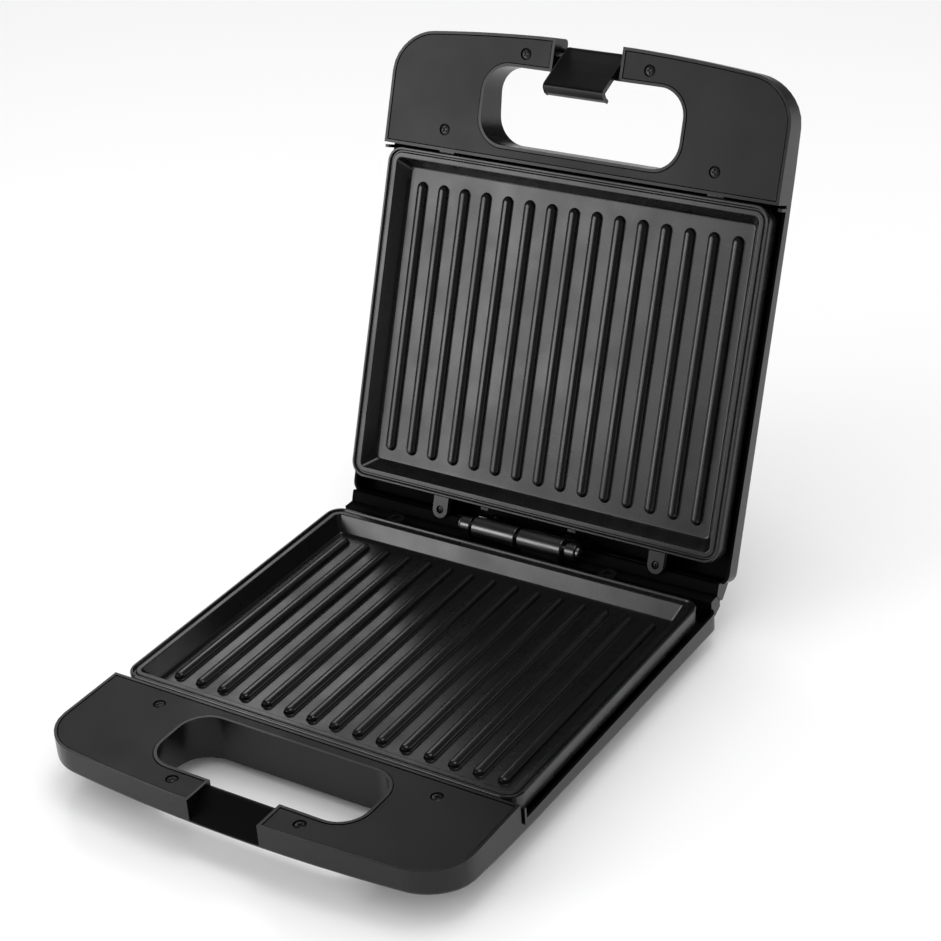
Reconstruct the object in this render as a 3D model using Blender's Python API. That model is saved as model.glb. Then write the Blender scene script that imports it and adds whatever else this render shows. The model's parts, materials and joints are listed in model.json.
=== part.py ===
"""A panini press: two hinged plastic half shells, each with a ribbed, coated grill plate.

Lengths are in metres and +Z is up. The press stands open on its rubber feet, and the origin is
on the surface under the middle of its bounding box.

Each half is modelled in a frame of its own, with the origin on the hinge axis: x runs across
the press, v runs forward from the axis, and w runs outward from the plane that lies midway
between the two closed halves. A point (x, v, w) is therefore at (x, -v, -w) under the half's
empty. The lid is the base turned over, so its empty turns that frame half way round.
"""
import math
from collections import namedtuple

import bmesh
import bpy
import numpy as np
from mathutils import Matrix, Vector

MM = 0.001

# Where the halves stand.
FOOT_LEVEL = 33 * MM            # hinge axis above the surface
AXIS_BACK = 80.1 * MM           # hinge axis behind the middle of the bounding box
LID_OPEN = math.radians(110.7)

# The outline of a half. Its front edge is bowed, and it runs behind the hinge axis.
Outline = namedtuple("Outline", "half front rear front_radius rear_radius")
SHELL = Outline(121.2 * MM, 271.4 * MM, -1.0 * MM, 24 * MM, 6 * MM)
BOW_RADIUS = 950 * MM
BOW_START = 200 * MM

# The housing: wall, underside and levels, all measured outward from the parting plane.
WALL = 1.6 * MM
FLOOR = 2.0 * MM
HANDLE_TOP = 2.9 * MM
WELL_TOP = 13.5 * MM
EDGE_ROUND = 2.5 * MM
CROWN_RUN = 34 * MM
EDGE_STATIONS = np.array([-1, 190, 222, 271.4]) * MM
EDGE_DEPTHS = np.array([25, 21.4, 20.3, 17.0]) * MM
CROWN_STATIONS = np.array([195, 210, 230, 253, 271.4]) * MM
CROWN_DEPTHS = np.array([29.6, 28.0, 24.0, 20.8, 17.6]) * MM
PARTITION = (202.4 * MM, 204.0 * MM)
CLEAR = 0.3 * MM                # gap between pieces that touch
SEAM = 0.4 * MM                 # groove around the handle cover

# The handle opening and the latch notch in front of it.
OPENING_HALF = 60.8 * MM
OPENING_SPAN = (210.5 * MM, 253.1 * MM)
OPENING_RADIUS = 15 * MM
NOTCH_HALF = 20.5 * MM
STRIP_LEVEL = 5.2 * MM
STRIP_CHAMFER = 1.0 * MM

# The handle cover and its screws.
COVER_TOP = 3.2 * MM
COVER_BOTTOM = 5.2 * MM
COVER_SCREWS = ((82.9 * MM, 214.1 * MM), (37.6 * MM, 260.7 * MM))
BOSS_RADIUS = 3.4 * MM
SCREW_SHANK = 1.25 * MM
PILOT = SCREW_SHANK + CLEAR

# The grill plate.
PLATE = Outline(117.6 * MM, 201.2 * MM, 10.8 * MM, 9 * MM, 9 * MM)
RIM_LEVEL = 2.8 * MM
PLATE_FLOOR = 12.4 * MM
PLATE_UNDER = 15.4 * MM
RIB_COUNT = 15
RIB_PITCH = 14 * MM
RIB_HALF = 2.9 * MM
RIB_TOP = 9.7 * MM
RIB_SPAN = (28.3 * MM, 182.5 * MM)
EARS = (56.8 * MM, -80.8 * MM)
EAR_CENTRE = 2.6 * MM
EAR_LEVELS = (6.3 * MM, 8.8 * MM)
EAR_RADIUS = 4.4 * MM
EAR_SEAT = 2.35 * MM
EAR_SINK = 0.8 * MM             # how deep a plate screw's head is let in
TONGUE_X = 83 * MM
LUG_X = 28 * MM

# The hinge, whose two leaves are alike and mesh on one pin.
KNUCKLE_RADIUS = 5.7 * MM
RING_RADIUS = 4.5 * MM
KNUCKLE_SPAN = (0.9 * MM, 28.5 * MM)
RING_SPAN = (30.5 * MM, 36.5 * MM)
PIN_RADIUS = 2.0 * MM
PIN_HALF = 38.4 * MM
ARM = (0.95 * MM, 4.2 * MM)
LEAF_FOOT = (11.5 * MM, 21.0 * MM)
HINGE_SCREWS = (-22 * MM, 24 * MM)
HINGE_SCREW_LEVEL = 15.5 * MM
HEEL_HALF = 118 * MM
HEEL_TOP = 9.2 * MM
STOP_GAP = 0.2 * MM             # each heel's distance from the plane where they meet

# The latch, which hangs from the lid's front edge and hooks under the base's.
LATCH_V = 264.8 * MM
LATCH_W = 14.3 * MM
LATCH_REST = math.radians(43)
LATCH_HALF = 18.1 * MM
LATCH_KNUCKLE = 2.4 * MM
LATCH_FRONT = 2.2 * MM
LATCH_INNER = 0.2 * MM
LATCH_LENGTH = 30.2 * MM
LATCH_HOOK = 6.2 * MM

# Inside the halves.
ELEMENT_RADIUS = 3.2 * MM
ELEMENT_LEVEL = PLATE_UNDER + CLEAR + ELEMENT_RADIUS
REFLECTOR = (24.0 * MM, 24.8 * MM)
CLAMPS = ((-85 * MM, 105 * MM), (85 * MM, 105 * MM))
FEET = ((-80 * MM, 24 * MM), (80 * MM, 24 * MM), (-58 * MM, 200 * MM), (58 * MM, 200 * MM))
FOOT_RADIUS = 7.5 * MM
FOOT_SEAT = 28.5 * MM
LENSES = {"power_lens": -11 * MM, "ready_lens": 11 * MM}
LENS_V = 193.6 * MM
LENS_RADIUS = 4.0 * MM
LEAD_LEVEL = 20.5 * MM
LEAD_RADIUS = 1.1 * MM
GLAND_X = -92 * MM
GLAND_LEVEL = 17.5 * MM
GLAND_RADIUS = 5.0 * MM

SHARP_ANGLE = math.radians(35)
REACH = 60 * MM                 # how far a cutter runs past what it cuts


# ---------------------------------------------------------------- scene, finishes and objects

def clear_scene():
    """Remove every object and collection, so that the script can be run again."""
    for item in list(bpy.data.objects):
        bpy.data.objects.remove(item)
    for item in list(bpy.data.collections):
        bpy.data.collections.remove(item)


def collection(name):
    """Return a new collection under the scene's own."""
    made = bpy.data.collections.new(name)
    bpy.context.scene.collection.children.link(made)
    return made


def finish(name, colour, roughness, metallic=0.0):
    """Return a material with one Principled BSDF."""
    material = bpy.data.materials.new(name)
    material.use_nodes = True
    shader = material.node_tree.nodes["Principled BSDF"]
    shader.inputs["Base Color"].default_value = (*colour, 1)
    shader.inputs["Roughness"].default_value = roughness
    shader.inputs["Metallic"].default_value = metallic
    material.diffuse_color = (*colour, 1)
    return material


def empty(name, location, rotation=(0, 0, 0), parent=None):
    """Add the empty that carries a body, on that body's joint axis."""
    made = bpy.data.objects.new(name, None)
    made.empty_display_size = 20 * MM
    made.location = location
    made.rotation_euler = rotation
    made.parent = parent
    PARTS.objects.link(made)
    return made


def part(name, bm, frame, material):
    """Turn a bmesh, given in the frame's coordinates, into a named sub-part."""
    bmesh.ops.recalc_face_normals(bm, faces=bm.faces)
    mesh = bpy.data.meshes.new(name)
    bm.to_mesh(mesh)
    bm.free()
    mesh.shade_smooth()
    mesh.set_sharp_from_angle(angle=SHARP_ANGLE)
    mesh.materials.append(material)
    made = bpy.data.objects.new(name, mesh)
    made.parent = frame
    PARTS.objects.link(made)
    return made


def cutter(name, bm, frame):
    """Turn a bmesh into a hidden solid that only Booleans use."""
    bmesh.ops.recalc_face_normals(bm, faces=bm.faces)
    mesh = bpy.data.meshes.new(name)
    bm.to_mesh(mesh)
    bm.free()
    made = bpy.data.objects.new(name, mesh)
    made.parent = frame
    made.hide_render = True
    made.display_type = "WIRE"
    CUTTERS.objects.link(made)
    return made


def boolean(target, tool, operation="DIFFERENCE"):
    """Cut or join a target with a tool."""
    modifier = target.modifiers.new(tool.name, "BOOLEAN")
    modifier.operation = operation
    modifier.solver = "EXACT"
    modifier.object = tool


# ---------------------------------------------------------------- solids, all in (x, v, w)

def at(x, v, w):
    """A point of a half, in the coordinates under its empty."""
    return Vector((x, -v, -w))


def box(bm, x, v, w):
    """Add a box between pairs of x, v and w."""
    low, high = at(x[0], v[1], w[1]), at(x[1], v[0], w[0])
    matrix = Matrix.Translation((low + high) / 2) @ Matrix.Diagonal((*(high - low), 1))
    bmesh.ops.create_cube(bm, size=1, matrix=matrix)


def cylinder(bm, radius, start, end, segments=24, end_radius=None):
    """Add a cylinder, or a cone, between two points."""
    axis = end - start
    turn = axis.to_track_quat("Z", "Y").to_matrix().to_4x4()
    bmesh.ops.create_cone(
        bm, cap_ends=True, segments=segments, radius1=radius,
        radius2=radius if end_radius is None else end_radius,
        depth=axis.length, matrix=Matrix.Translation((start + end) / 2) @ turn)


def column(bm, radius, x, v, w, segments=24, end_radius=None):
    """Add a cylinder that runs outward between two levels."""
    cylinder(bm, radius, at(x, v, w[0]), at(x, v, w[1]), segments, end_radius)


def turned(bm, profile, matrix, segments=20):
    """Add a turned solid: (radius, height) pairs from top to bottom, around the matrix's Z."""
    rings = []
    for radius, height in profile:
        turns = np.arange(segments) * 2 * math.pi / segments
        rings.append([matrix @ Vector((radius * math.cos(t), radius * math.sin(t), height))
                      for t in turns])
    loft(bm, rings)


def loft(bm, rings):
    """Add a solid through rings of equally many points, with both ends capped."""
    loops = [[bm.verts.new(point) for point in ring] for ring in rings]
    count = len(loops[0])
    for first, second in zip(loops, loops[1:]):
        for i in range(count):
            j = (i + 1) % count
            bm.faces.new((first[i], first[j], second[j], second[i]))
    bm.faces.new(loops[0])
    bm.faces.new(reversed(loops[-1]))


def prism(bm, outline, thickness, matrix):
    """Add a flat outline in the matrix's XY plane, half its thickness to each side."""
    curve = bpy.data.curves.new("outline", "CURVE")
    curve.dimensions = "2D"
    curve.fill_mode = "BOTH"
    curve.extrude = thickness / 2
    spline = curve.splines.new("POLY")
    spline.points.add(len(outline) - 1)
    for point, (across, up) in zip(spline.points, outline):
        point.co = (across, up, 0, 1)
    spline.use_cyclic_u = True
    solid = welded(curve, "outline")
    solid.transform(matrix)
    bm.from_mesh(solid)
    bpy.data.meshes.remove(solid)


def welded(curve, name):
    """Return a curve's evaluated shape as a mesh whose caps are welded on."""
    holder = bpy.data.objects.new(name, curve)
    bpy.context.scene.collection.objects.link(holder)
    graph = bpy.context.evaluated_depsgraph_get()
    mesh = bpy.data.meshes.new_from_object(holder.evaluated_get(graph))
    bpy.data.objects.remove(holder)
    weld = bmesh.new()
    weld.from_mesh(mesh)
    bmesh.ops.remove_doubles(weld, verts=weld.verts, dist=0.001 * MM)
    bmesh.ops.recalc_face_normals(weld, faces=weld.faces)
    weld.to_mesh(mesh)
    weld.free()
    return mesh


def plan_prism(bm, outline, w):
    """Add an outline of (x, v) points between two levels."""
    points = [(x, -v) for x, v in outline]
    prism(bm, points, w[1] - w[0], Matrix.Translation((0, 0, -(w[0] + w[1]) / 2)))


def side_prism(bm, outline, x):
    """Add an outline of (v, w) points between two places across the press."""
    turn = Matrix(((0, 0, 1), (1, 0, 0), (0, 1, 0))).to_4x4()
    points = [(-v, -w) for v, w in outline]
    prism(bm, points, x[1] - x[0], Matrix.Translation(((x[0] + x[1]) / 2, 0, 0)) @ turn)


def tube(bm, points, radius, end_radius=None):
    """Add a wire or tube through points, its first and last stretches thinner if asked."""
    curve = bpy.data.curves.new("tube", "CURVE")
    curve.dimensions = "3D"
    curve.bevel_depth = radius
    curve.bevel_resolution = 2
    curve.use_fill_caps = True
    spline = curve.splines.new("POLY")
    spline.points.add(len(points) - 1)
    for point, place in zip(spline.points, points):
        point.co = (*place, 1)
    if end_radius is not None:
        for index in (0, 1, -2, -1):
            spline.points[index].radius = end_radius / radius
    mesh = welded(curve, "tube")
    bm.from_mesh(mesh)
    bpy.data.meshes.remove(mesh)


def arc(centre, radius, start, end, steps):
    """Points on an arc in a plane, with the angles in degrees."""
    turns = np.radians(np.linspace(start, end, steps + 1))
    return [(centre[0] + radius * math.cos(t), centre[1] + radius * math.sin(t)) for t in turns]


def rounded_rectangle(half, rear, front, front_radius, rear_radius, steps=5):
    """The (x, v) outline of a rectangle with rounded corners."""
    return (arc((half - rear_radius, rear + rear_radius), rear_radius, -90, 0, steps)
            + arc((half - front_radius, front - front_radius), front_radius, 0, 90, steps)
            + arc((front_radius - half, front - front_radius), front_radius, 90, 180, steps)
            + arc((rear_radius - half, rear + rear_radius), rear_radius, 180, 270, steps))


def fillet(corners, radius, steps=4):
    """A route of (x, v) points with its inner corners rounded."""
    route = [corners[0]]
    for before, corner, after in zip(corners, corners[1:], corners[2:]):
        back = (Vector(before) - Vector(corner)).normalized() * radius
        ahead = (Vector(after) - Vector(corner)).normalized() * radius
        for step in range(steps + 1):
            turn = math.pi / 2 * step / steps
            route.append(tuple(Vector(corner) + back * (1 - math.sin(turn))
                               + ahead * (1 - math.cos(turn))))
    return route + [corners[-1]]


# ---------------------------------------------------------------- the form of a half

def bow(x, v):
    """How far the bowed front edge draws a point back."""
    share = (v - BOW_START) / (SHELL.front - BOW_START)
    return x * x / (2 * BOW_RADIUS) * min(max(share, 0), 1)


def half_width(v, outline):
    """Half the width of an outline at one station."""
    for gap, radius in ((v - outline.front + outline.front_radius, outline.front_radius),
                        (outline.rear + outline.rear_radius - v, outline.rear_radius)):
        if gap > 0:
            return outline.half - radius + math.sqrt(max(radius ** 2 - gap ** 2, 0))
    return outline.half


def edge_distance(x, v, outline):
    """How far a point is inside an outline."""
    across = outline.half - abs(x)
    along, radius = min((outline.front - v, outline.front_radius),
                        (v - outline.rear, outline.rear_radius))
    if across < radius and along < radius:
        return max(radius - math.hypot(radius - across, radius - along), 0)
    return max(min(across, along), 0)


def underside(x, v):
    """The level of a half's crowned outer face."""
    distance = edge_distance(x, v, SHELL)
    edge = np.interp(v, EDGE_STATIONS, EDGE_DEPTHS)
    crown = np.interp(v, CROWN_STATIONS, CROWN_DEPTHS)
    rise = math.sin(math.pi / 2 * min(distance / CROWN_RUN, 1))
    corner = max(EDGE_ROUND - distance, 0)
    return edge + (crown - edge) * rise - EDGE_ROUND + math.sqrt(EDGE_ROUND ** 2 - corner ** 2)


def block(bm, inset, top, lift):
    """Add a half's solid form, moved in by inset, from a level to lift above its underside."""
    outline = Outline(SHELL.half - inset, SHELL.front - inset, SHELL.rear + inset,
                      SHELL.front_radius - inset, SHELL.rear_radius - inset)
    edges = np.array([0, 0.8, 2.5, 9, 20, 36]) * MM
    front = outline.front - np.array([0, 0.8, 2.5, 7, 14, 24]) * MM
    rear = outline.rear + np.array([12, 6, 2.5, 0.8, 0]) * MM
    middle = np.array([236, 222, 209, 196, 150, 100, 50]) * MM
    stations = np.concatenate([front, middle, rear])
    columns = 2 * len(edges) + 3
    bmesh.ops.create_grid(bm, x_segments=columns - 1, y_segments=len(stations) - 1, size=1)
    sheet = list(bm.verts)
    for vert in sheet:
        v = stations[round((vert.co.y + 1) / 2 * (len(stations) - 1))]
        half = half_width(v, outline)
        across = np.concatenate([edges - half, (-45 * MM, 0, 45 * MM), (half - edges)[::-1]])
        x = across[round((vert.co.x + 1) / 2 * (columns - 1))]
        vert.co = at(x, v - bow(x, v), underside(x, v) - lift)
    wall = bmesh.ops.extrude_face_region(bm, geom=list(bm.faces))
    for vert in (item for item in wall["geom"] if isinstance(item, bmesh.types.BMVert)):
        vert.co.z = -top


def opening_outline(grow):
    """The handle opening's outline, grown outward."""
    rear, front = OPENING_SPAN
    radius = OPENING_RADIUS + grow
    return rounded_rectangle(OPENING_HALF + grow, rear - grow, front + grow, radius, radius)


def heel_outline():
    """The rear heel's (v, w) outline; its sloped face meets the other half's when open."""
    lean = math.pi / 2 - LID_OPEN / 2
    slope = math.tan(lean)
    shift = STOP_GAP / math.cos(lean)
    foot = 13 * MM
    return [(0.2 * MM, HEEL_TOP), (shift - HEEL_TOP * slope, HEEL_TOP),
            (shift - foot * slope, foot), (shift - foot * slope, 16.5 * MM),
            (-0.4 * MM, 20.5 * MM), (0.2 * MM, 20.5 * MM)]


def saddle_outline(is_lid):
    """What the latch notch takes out of a half, as (v, w) points."""
    rear = OPENING_SPAN[1]
    behind, ahead, above = rear - 4 * MM, SHELL.front + 9 * MM, -REACH / 4
    strip = [(behind, above), (behind, STRIP_LEVEL + STRIP_CHAMFER),
             (rear, STRIP_LEVEL + STRIP_CHAMFER), (rear + STRIP_CHAMFER, STRIP_LEVEL)]
    if is_lid:
        pocket = LATCH_V - LATCH_KNUCKLE - 0.7 * MM
        slope = [(256.1 * MM, STRIP_LEVEL), (pocket, 11.2 * MM), (pocket, REACH), (ahead, REACH)]
    else:
        slope = [(257.5 * MM, STRIP_LEVEL), (ahead, 21.1 * MM)]
    return strip + slope + [(ahead, above)]


def screw_places():
    """Every handle screw's (x, v)."""
    return [(side * x, v) for x, v in COVER_SCREWS for side in (-1, 1)]


# ---------------------------------------------------------------- housing

def inner_space(name, frame):
    """The room inside a half, less the walls and bosses that stand in it."""
    room = bmesh.new()
    block(room, WALL, -REACH / 3, FLOOR)
    room = cutter(name, room, frame)
    walls = bmesh.new()
    box(walls, (-REACH * 3, REACH * 3), PARTITION, (-REACH, REACH))
    for x, v in screw_places():
        column(walls, BOSS_RADIUS, x, v, (COVER_BOTTOM + CLEAR, REACH), 16)
    plan_prism(walls, opening_outline(WALL), (-REACH, REACH))
    boolean(room, cutter(name + "_walls", walls, frame))
    saddle = bmesh.new()
    box(saddle, (-NOTCH_HALF - WALL, NOTCH_HALF + WALL),
        (OPENING_SPAN[1] - WALL, SHELL.front + WALL), (-REACH, REACH))
    boolean(room, cutter(name + "_saddle", saddle, frame))
    return room


def shell(name, frame, is_lid):
    """A half's moulded housing with its heel, handle opening, notch, bosses and holes."""
    form = bmesh.new()
    block(form, 0, HANDLE_TOP, 0)
    made = part(name, form, frame, HOUSING)
    boolean(made, inner_space(name + "_room", frame))

    well = bmesh.new()
    box(well, (-REACH * 3, REACH * 3), (-REACH, PARTITION[0]), (-REACH, WELL_TOP))
    boolean(made, cutter(name + "_well", well, frame))

    heel = bmesh.new()
    side_prism(heel, heel_outline(), (-HEEL_HALF, HEEL_HALF))
    boolean(made, cutter(name + "_heel", heel, frame), "UNION")
    if not is_lid:
        bay = bmesh.new()
        box(bay, (GLAND_X - 8 * MM, GLAND_X + 8 * MM), (-REACH, SHELL.rear), (10.6 * MM, REACH))
        boolean(made, cutter(name + "_gland_bay", bay, frame))

    added = bmesh.new()
    for x in EARS:
        column(added, BOSS_RADIUS, x, EAR_CENTRE, (EAR_LEVELS[1] + CLEAR, 24 * MM), 16)
    for side in (-1, 1):
        tab = sorted((side * 119.9 * MM, side * 122.2 * MM))
        box(added, tab, (199.2 * MM, 200.8 * MM), (6.0 * MM, 15.0 * MM))
    boolean(made, cutter(name + "_added", added, frame), "UNION")

    openings = bmesh.new()
    plan_prism(openings, opening_outline(0), (-REACH, REACH))
    boolean(made, cutter(name + "_opening", openings, frame))
    notch = bmesh.new()
    side_prism(notch, saddle_outline(is_lid), (-NOTCH_HALF, NOTCH_HALF))
    boolean(made, cutter(name + "_notch", notch, frame))

    holes = bmesh.new()
    for x, v in screw_places():
        column(holes, PILOT, x, v, (0, 15 * MM), 12)
    for x in EARS:
        column(holes, PILOT, x, EAR_CENTRE, (0, 17.5 * MM), 12)
    for x in HINGE_SCREWS:
        cylinder(holes, PILOT, at(x, 6 * MM, HINGE_SCREW_LEVEL),
                 at(x, -5 * MM, HINGE_SCREW_LEVEL), 12)
    for side in (-1, 1):
        slot = (side * TONGUE_X - 5.5 * MM, side * TONGUE_X + 5.5 * MM)
        box(holes, slot, (PARTITION[0] - 1 * MM, PARTITION[1] + 1 * MM), (8.2 * MM, 11.2 * MM))
    if is_lid:
        cylinder(holes, PILOT, at(-24 * MM, LATCH_V, LATCH_W), at(24 * MM, LATCH_V, LATCH_W), 16)
        for x in LENSES.values():
            column(holes, LENS_RADIUS + CLEAR, x, LENS_V, (26 * MM, 34 * MM), 20)
    else:
        for x, v in FEET:
            column(holes, FOOT_RADIUS + CLEAR, x, v, (FOOT_SEAT - CLEAR, 34 * MM), 20)
        cylinder(holes, GLAND_RADIUS + CLEAR, at(GLAND_X, 6 * MM, GLAND_LEVEL),
                 at(GLAND_X, -REACH / 3, GLAND_LEVEL), 20)
        box(holes, (-LATCH_HALF - 1 * MM, LATCH_HALF + 1 * MM), (261.3 * MM, 268.6 * MM),
            (16.1 * MM, 24 * MM))
    boolean(made, cutter(name + "_holes", holes, frame))


def cover(name, frame):
    """The flat plate that closes a handle, around the opening and the notch."""
    inset = WALL + SEAM
    plate = bmesh.new()
    box(plate, (-SHELL.half, SHELL.half), (PARTITION[1] + SEAM, SHELL.front + WALL),
        (COVER_TOP, COVER_BOTTOM))
    made = part(name, plate, frame, COVER)
    inside = bmesh.new()
    block(inside, inset, -REACH / 3, 0)
    boolean(made, cutter(name + "_outline", inside, frame), "INTERSECT")
    gaps = bmesh.new()
    plan_prism(gaps, opening_outline(inset), (-REACH, REACH))
    boolean(made, cutter(name + "_opening", gaps, frame))
    notch = bmesh.new()
    box(notch, (-NOTCH_HALF - inset, NOTCH_HALF + inset),
        (OPENING_SPAN[1] - 1 * MM, SHELL.front + 5 * MM), (-REACH, REACH))
    boolean(made, cutter(name + "_notch", notch, frame))
    seats = bmesh.new()
    for x, v in screw_places():
        turned(seats, [(3.2 * MM, 0), (3.2 * MM, -COVER_TOP - 1.3 * MM),
                       (PILOT, -COVER_TOP - 1.3 * MM), (PILOT, -8 * MM)],
               Matrix.Translation(at(x, v, 0)), 16)
    boolean(made, cutter(name + "_seats", seats, frame))


def screw(bm, matrix, head_radius, head, shank):
    """Add a screw whose head's top is at the matrix's origin and whose shank runs down its Z."""
    turned(bm, [(head_radius * 0.8, 0), (head_radius, -0.25 * head), (head_radius, -head),
                (SCREW_SHANK, -head), (SCREW_SHANK, -head - shank + 0.8 * MM),
                (0.5 * MM, -head - shank)], matrix, 12)


def screws(name, frame, matrices, head_radius, head, shank):
    """Alike screws, one at each matrix."""
    for number, matrix in enumerate(matrices, 1):
        bm = bmesh.new()
        screw(bm, matrix, head_radius, head, shank)
        part(f"{name}_{number}", bm, frame, SCREW)


def driven_outward(places, top):
    """Matrices for screws driven outward from a level at (x, v) places."""
    return [Matrix.Translation(at(x, v, top)) for x, v in places]


# ---------------------------------------------------------------- grill plate

def plate_section():
    """The plate's (inset, level) section, from its underside's middle over the rim to its floor."""
    return [(12.4, 15.4), (7.2, 6.6), (2.2, 6.2), (2.2, 12.5), (0, 12.5), (0, 3.6), (0.5, 2.8),
            (1.6, 2.8), (2.2, 4.2), (2.9, 4.2), (3.4, 3.4), (6.0, 3.4), (10.8, 12.4)]


def grill_plate(name, frame):
    """A pressed and cast plate: rim lip, groove, flange, sloped wall, ribbed floor and fixings."""
    tray = bmesh.new()
    rings = []
    for inset, level in plate_section():
        radius = max(PLATE.front_radius - inset * MM, 2.4 * MM)
        outline = rounded_rectangle(PLATE.half - inset * MM, PLATE.rear + inset * MM,
                                    PLATE.front - inset * MM, radius, radius)
        rings.append([at(x, v, level * MM) for x, v in outline])
    loft(tray, rings)
    made = part(name, tray, frame, COATING)

    ribs = bmesh.new()
    section = [(RIB_HALF, PLATE_FLOOR + 1 * MM), (RIB_HALF, PLATE_FLOOR - 0.4 * MM),
               (RIB_HALF - 0.5 * MM, RIB_TOP + 0.7 * MM), (1.2 * MM, RIB_TOP)]
    for index in range(RIB_COUNT):
        centre = (index - (RIB_COUNT - 1) / 2) * RIB_PITCH
        rings = []
        for radius, level in section:
            rear, front = RIB_SPAN[0] + RIB_HALF, RIB_SPAN[1] - RIB_HALF
            ends = arc((centre, front), radius, 0, 180, 4)
            ends += arc((centre, rear), radius, 180, 360, 4)
            rings.append([at(x, v, level) for x, v in ends])
        loft(ribs, rings)
    boolean(made, cutter(name + "_ribs", ribs, frame), "UNION")

    fixings = bmesh.new()
    for x in EARS:
        ear = (arc((x, EAR_CENTRE), EAR_RADIUS, 180, 360, 8)
               + [(x + EAR_RADIUS, 12 * MM), (x - EAR_RADIUS, 12 * MM)])
        plan_prism(fixings, ear, EAR_LEVELS)
    for side in (-1, 1):
        box(fixings, (side * TONGUE_X - 5 * MM, side * TONGUE_X + 5 * MM),
            (200.0 * MM, 206 * MM), (8.6 * MM, 10.8 * MM))
        box(fixings, (side * LUG_X - 2.6 * MM, side * LUG_X + 2.6 * MM),
            (8.4 * MM, 12 * MM), (6.3 * MM, 7.7 * MM))
    boolean(made, cutter(name + "_fixings", fixings, frame), "UNION")

    holes = bmesh.new()
    for x in EARS:
        seat = -EAR_LEVELS[0] - EAR_SINK - 1.1 * MM
        turned(holes, [(EAR_SEAT, 0), (EAR_SEAT, seat), (PILOT, seat),
                       (PILOT, -EAR_LEVELS[1] - 2 * MM)],
               Matrix.Translation(at(x, EAR_CENTRE, 0)), 16)
    for x, v in CLAMPS:
        column(holes, PILOT, x + 8 * MM, v, (13.3 * MM, 18 * MM), 10)
    boolean(made, cutter(name + "_holes", holes, frame))


# ---------------------------------------------------------------- heating

def heating_element(name, frame):
    """The sheathed tube under a plate, bent in an M, with a thin terminal at each end."""
    across, near, far, middle = 85 * MM, 34 * MM, 172 * MM, 66 * MM
    corners = [(-20 * MM, near), (-across, near), (-across, far), (-28 * MM, far),
               (-28 * MM, middle), (28 * MM, middle), (28 * MM, far), (across, far),
               (across, near), (20 * MM, near)]
    route = fillet(corners, 13 * MM)
    route.insert(1, (-28 * MM, near))
    route.insert(2, (-28.5 * MM, near))
    route.insert(-1, (28.5 * MM, near))
    route.insert(-1, (28 * MM, near))
    bm = bmesh.new()
    tube(bm, [at(x, v, ELEMENT_LEVEL) for x, v in route], ELEMENT_RADIUS, 1.2 * MM)
    part(name, bm, frame, SHEATH)


def reflector(name, frame):
    """The thin tray behind an element that turns its heat back to the plate."""
    low, high = REFLECTOR
    sections = [(0, high), (0, 17.5 * MM), (0.8 * MM, 17.5 * MM), (0.8 * MM, low)]
    rings = []
    for inset, level in sections:
        outline = rounded_rectangle(99 * MM - inset, 27 * MM + inset, 186 * MM - inset,
                                    6 * MM, 6 * MM, 3)
        rings.append([at(x, v, level) for x, v in outline])
    bm = bmesh.new()
    loft(bm, rings)
    made = part(name, bm, frame, REFLECTOR_METAL)
    gaps = bmesh.new()
    box(gaps, (-40 * MM, 40 * MM), (20 * MM, 29 * MM), (10 * MM, low - 0.2 * MM))
    boolean(made, cutter(name + "_wire_gap", gaps, frame))


def clamps(name, frame):
    """Pressed straps that hold an element to its plate."""
    under = PLATE_UNDER + CLEAR
    inner, outer, foot = 3.6 * MM, 4.5 * MM, 10.8 * MM
    top, skin = ELEMENT_LEVEL + ELEMENT_RADIUS + CLEAR, 0.8 * MM
    strap = [(-outer, top + skin), (outer, top + skin), (outer, under + skin),
             (foot, under + skin), (foot, under), (inner, under), (inner, top),
             (-inner, top), (-inner, under), (-outer, under)]
    turn = Matrix(((1, 0, 0), (0, 0, 1), (0, 1, 0))).to_4x4()
    for number, (x, v) in enumerate(CLAMPS, 1):
        bm = bmesh.new()
        prism(bm, [(a, -b) for a, b in strap], 9 * MM, Matrix.Translation(at(x, v, 0)) @ turn)
        made = part(f"{name}_{number}", bm, frame, SPRING_STEEL)
        hole = bmesh.new()
        column(hole, PILOT, x + 8 * MM, v, (under - 1 * MM, under + 3 * MM), 10)
        boolean(made, cutter(f"{name}_{number}_hole", hole, frame))


def clamp_screws(name, frame):
    """The short screws that fix the straps, driven from outside up into the plate."""
    seat, head = PLATE_UNDER + 2 * CLEAR + 0.8 * MM, 1.6 * MM
    turn = Matrix.Rotation(math.pi, 4, "X")
    matrices = [Matrix.Translation(at(x + 8 * MM, v, seat + head)) @ turn for x, v in CLAMPS]
    screws(name, frame, matrices, 2.4 * MM, head, 2.7 * MM)


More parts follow.
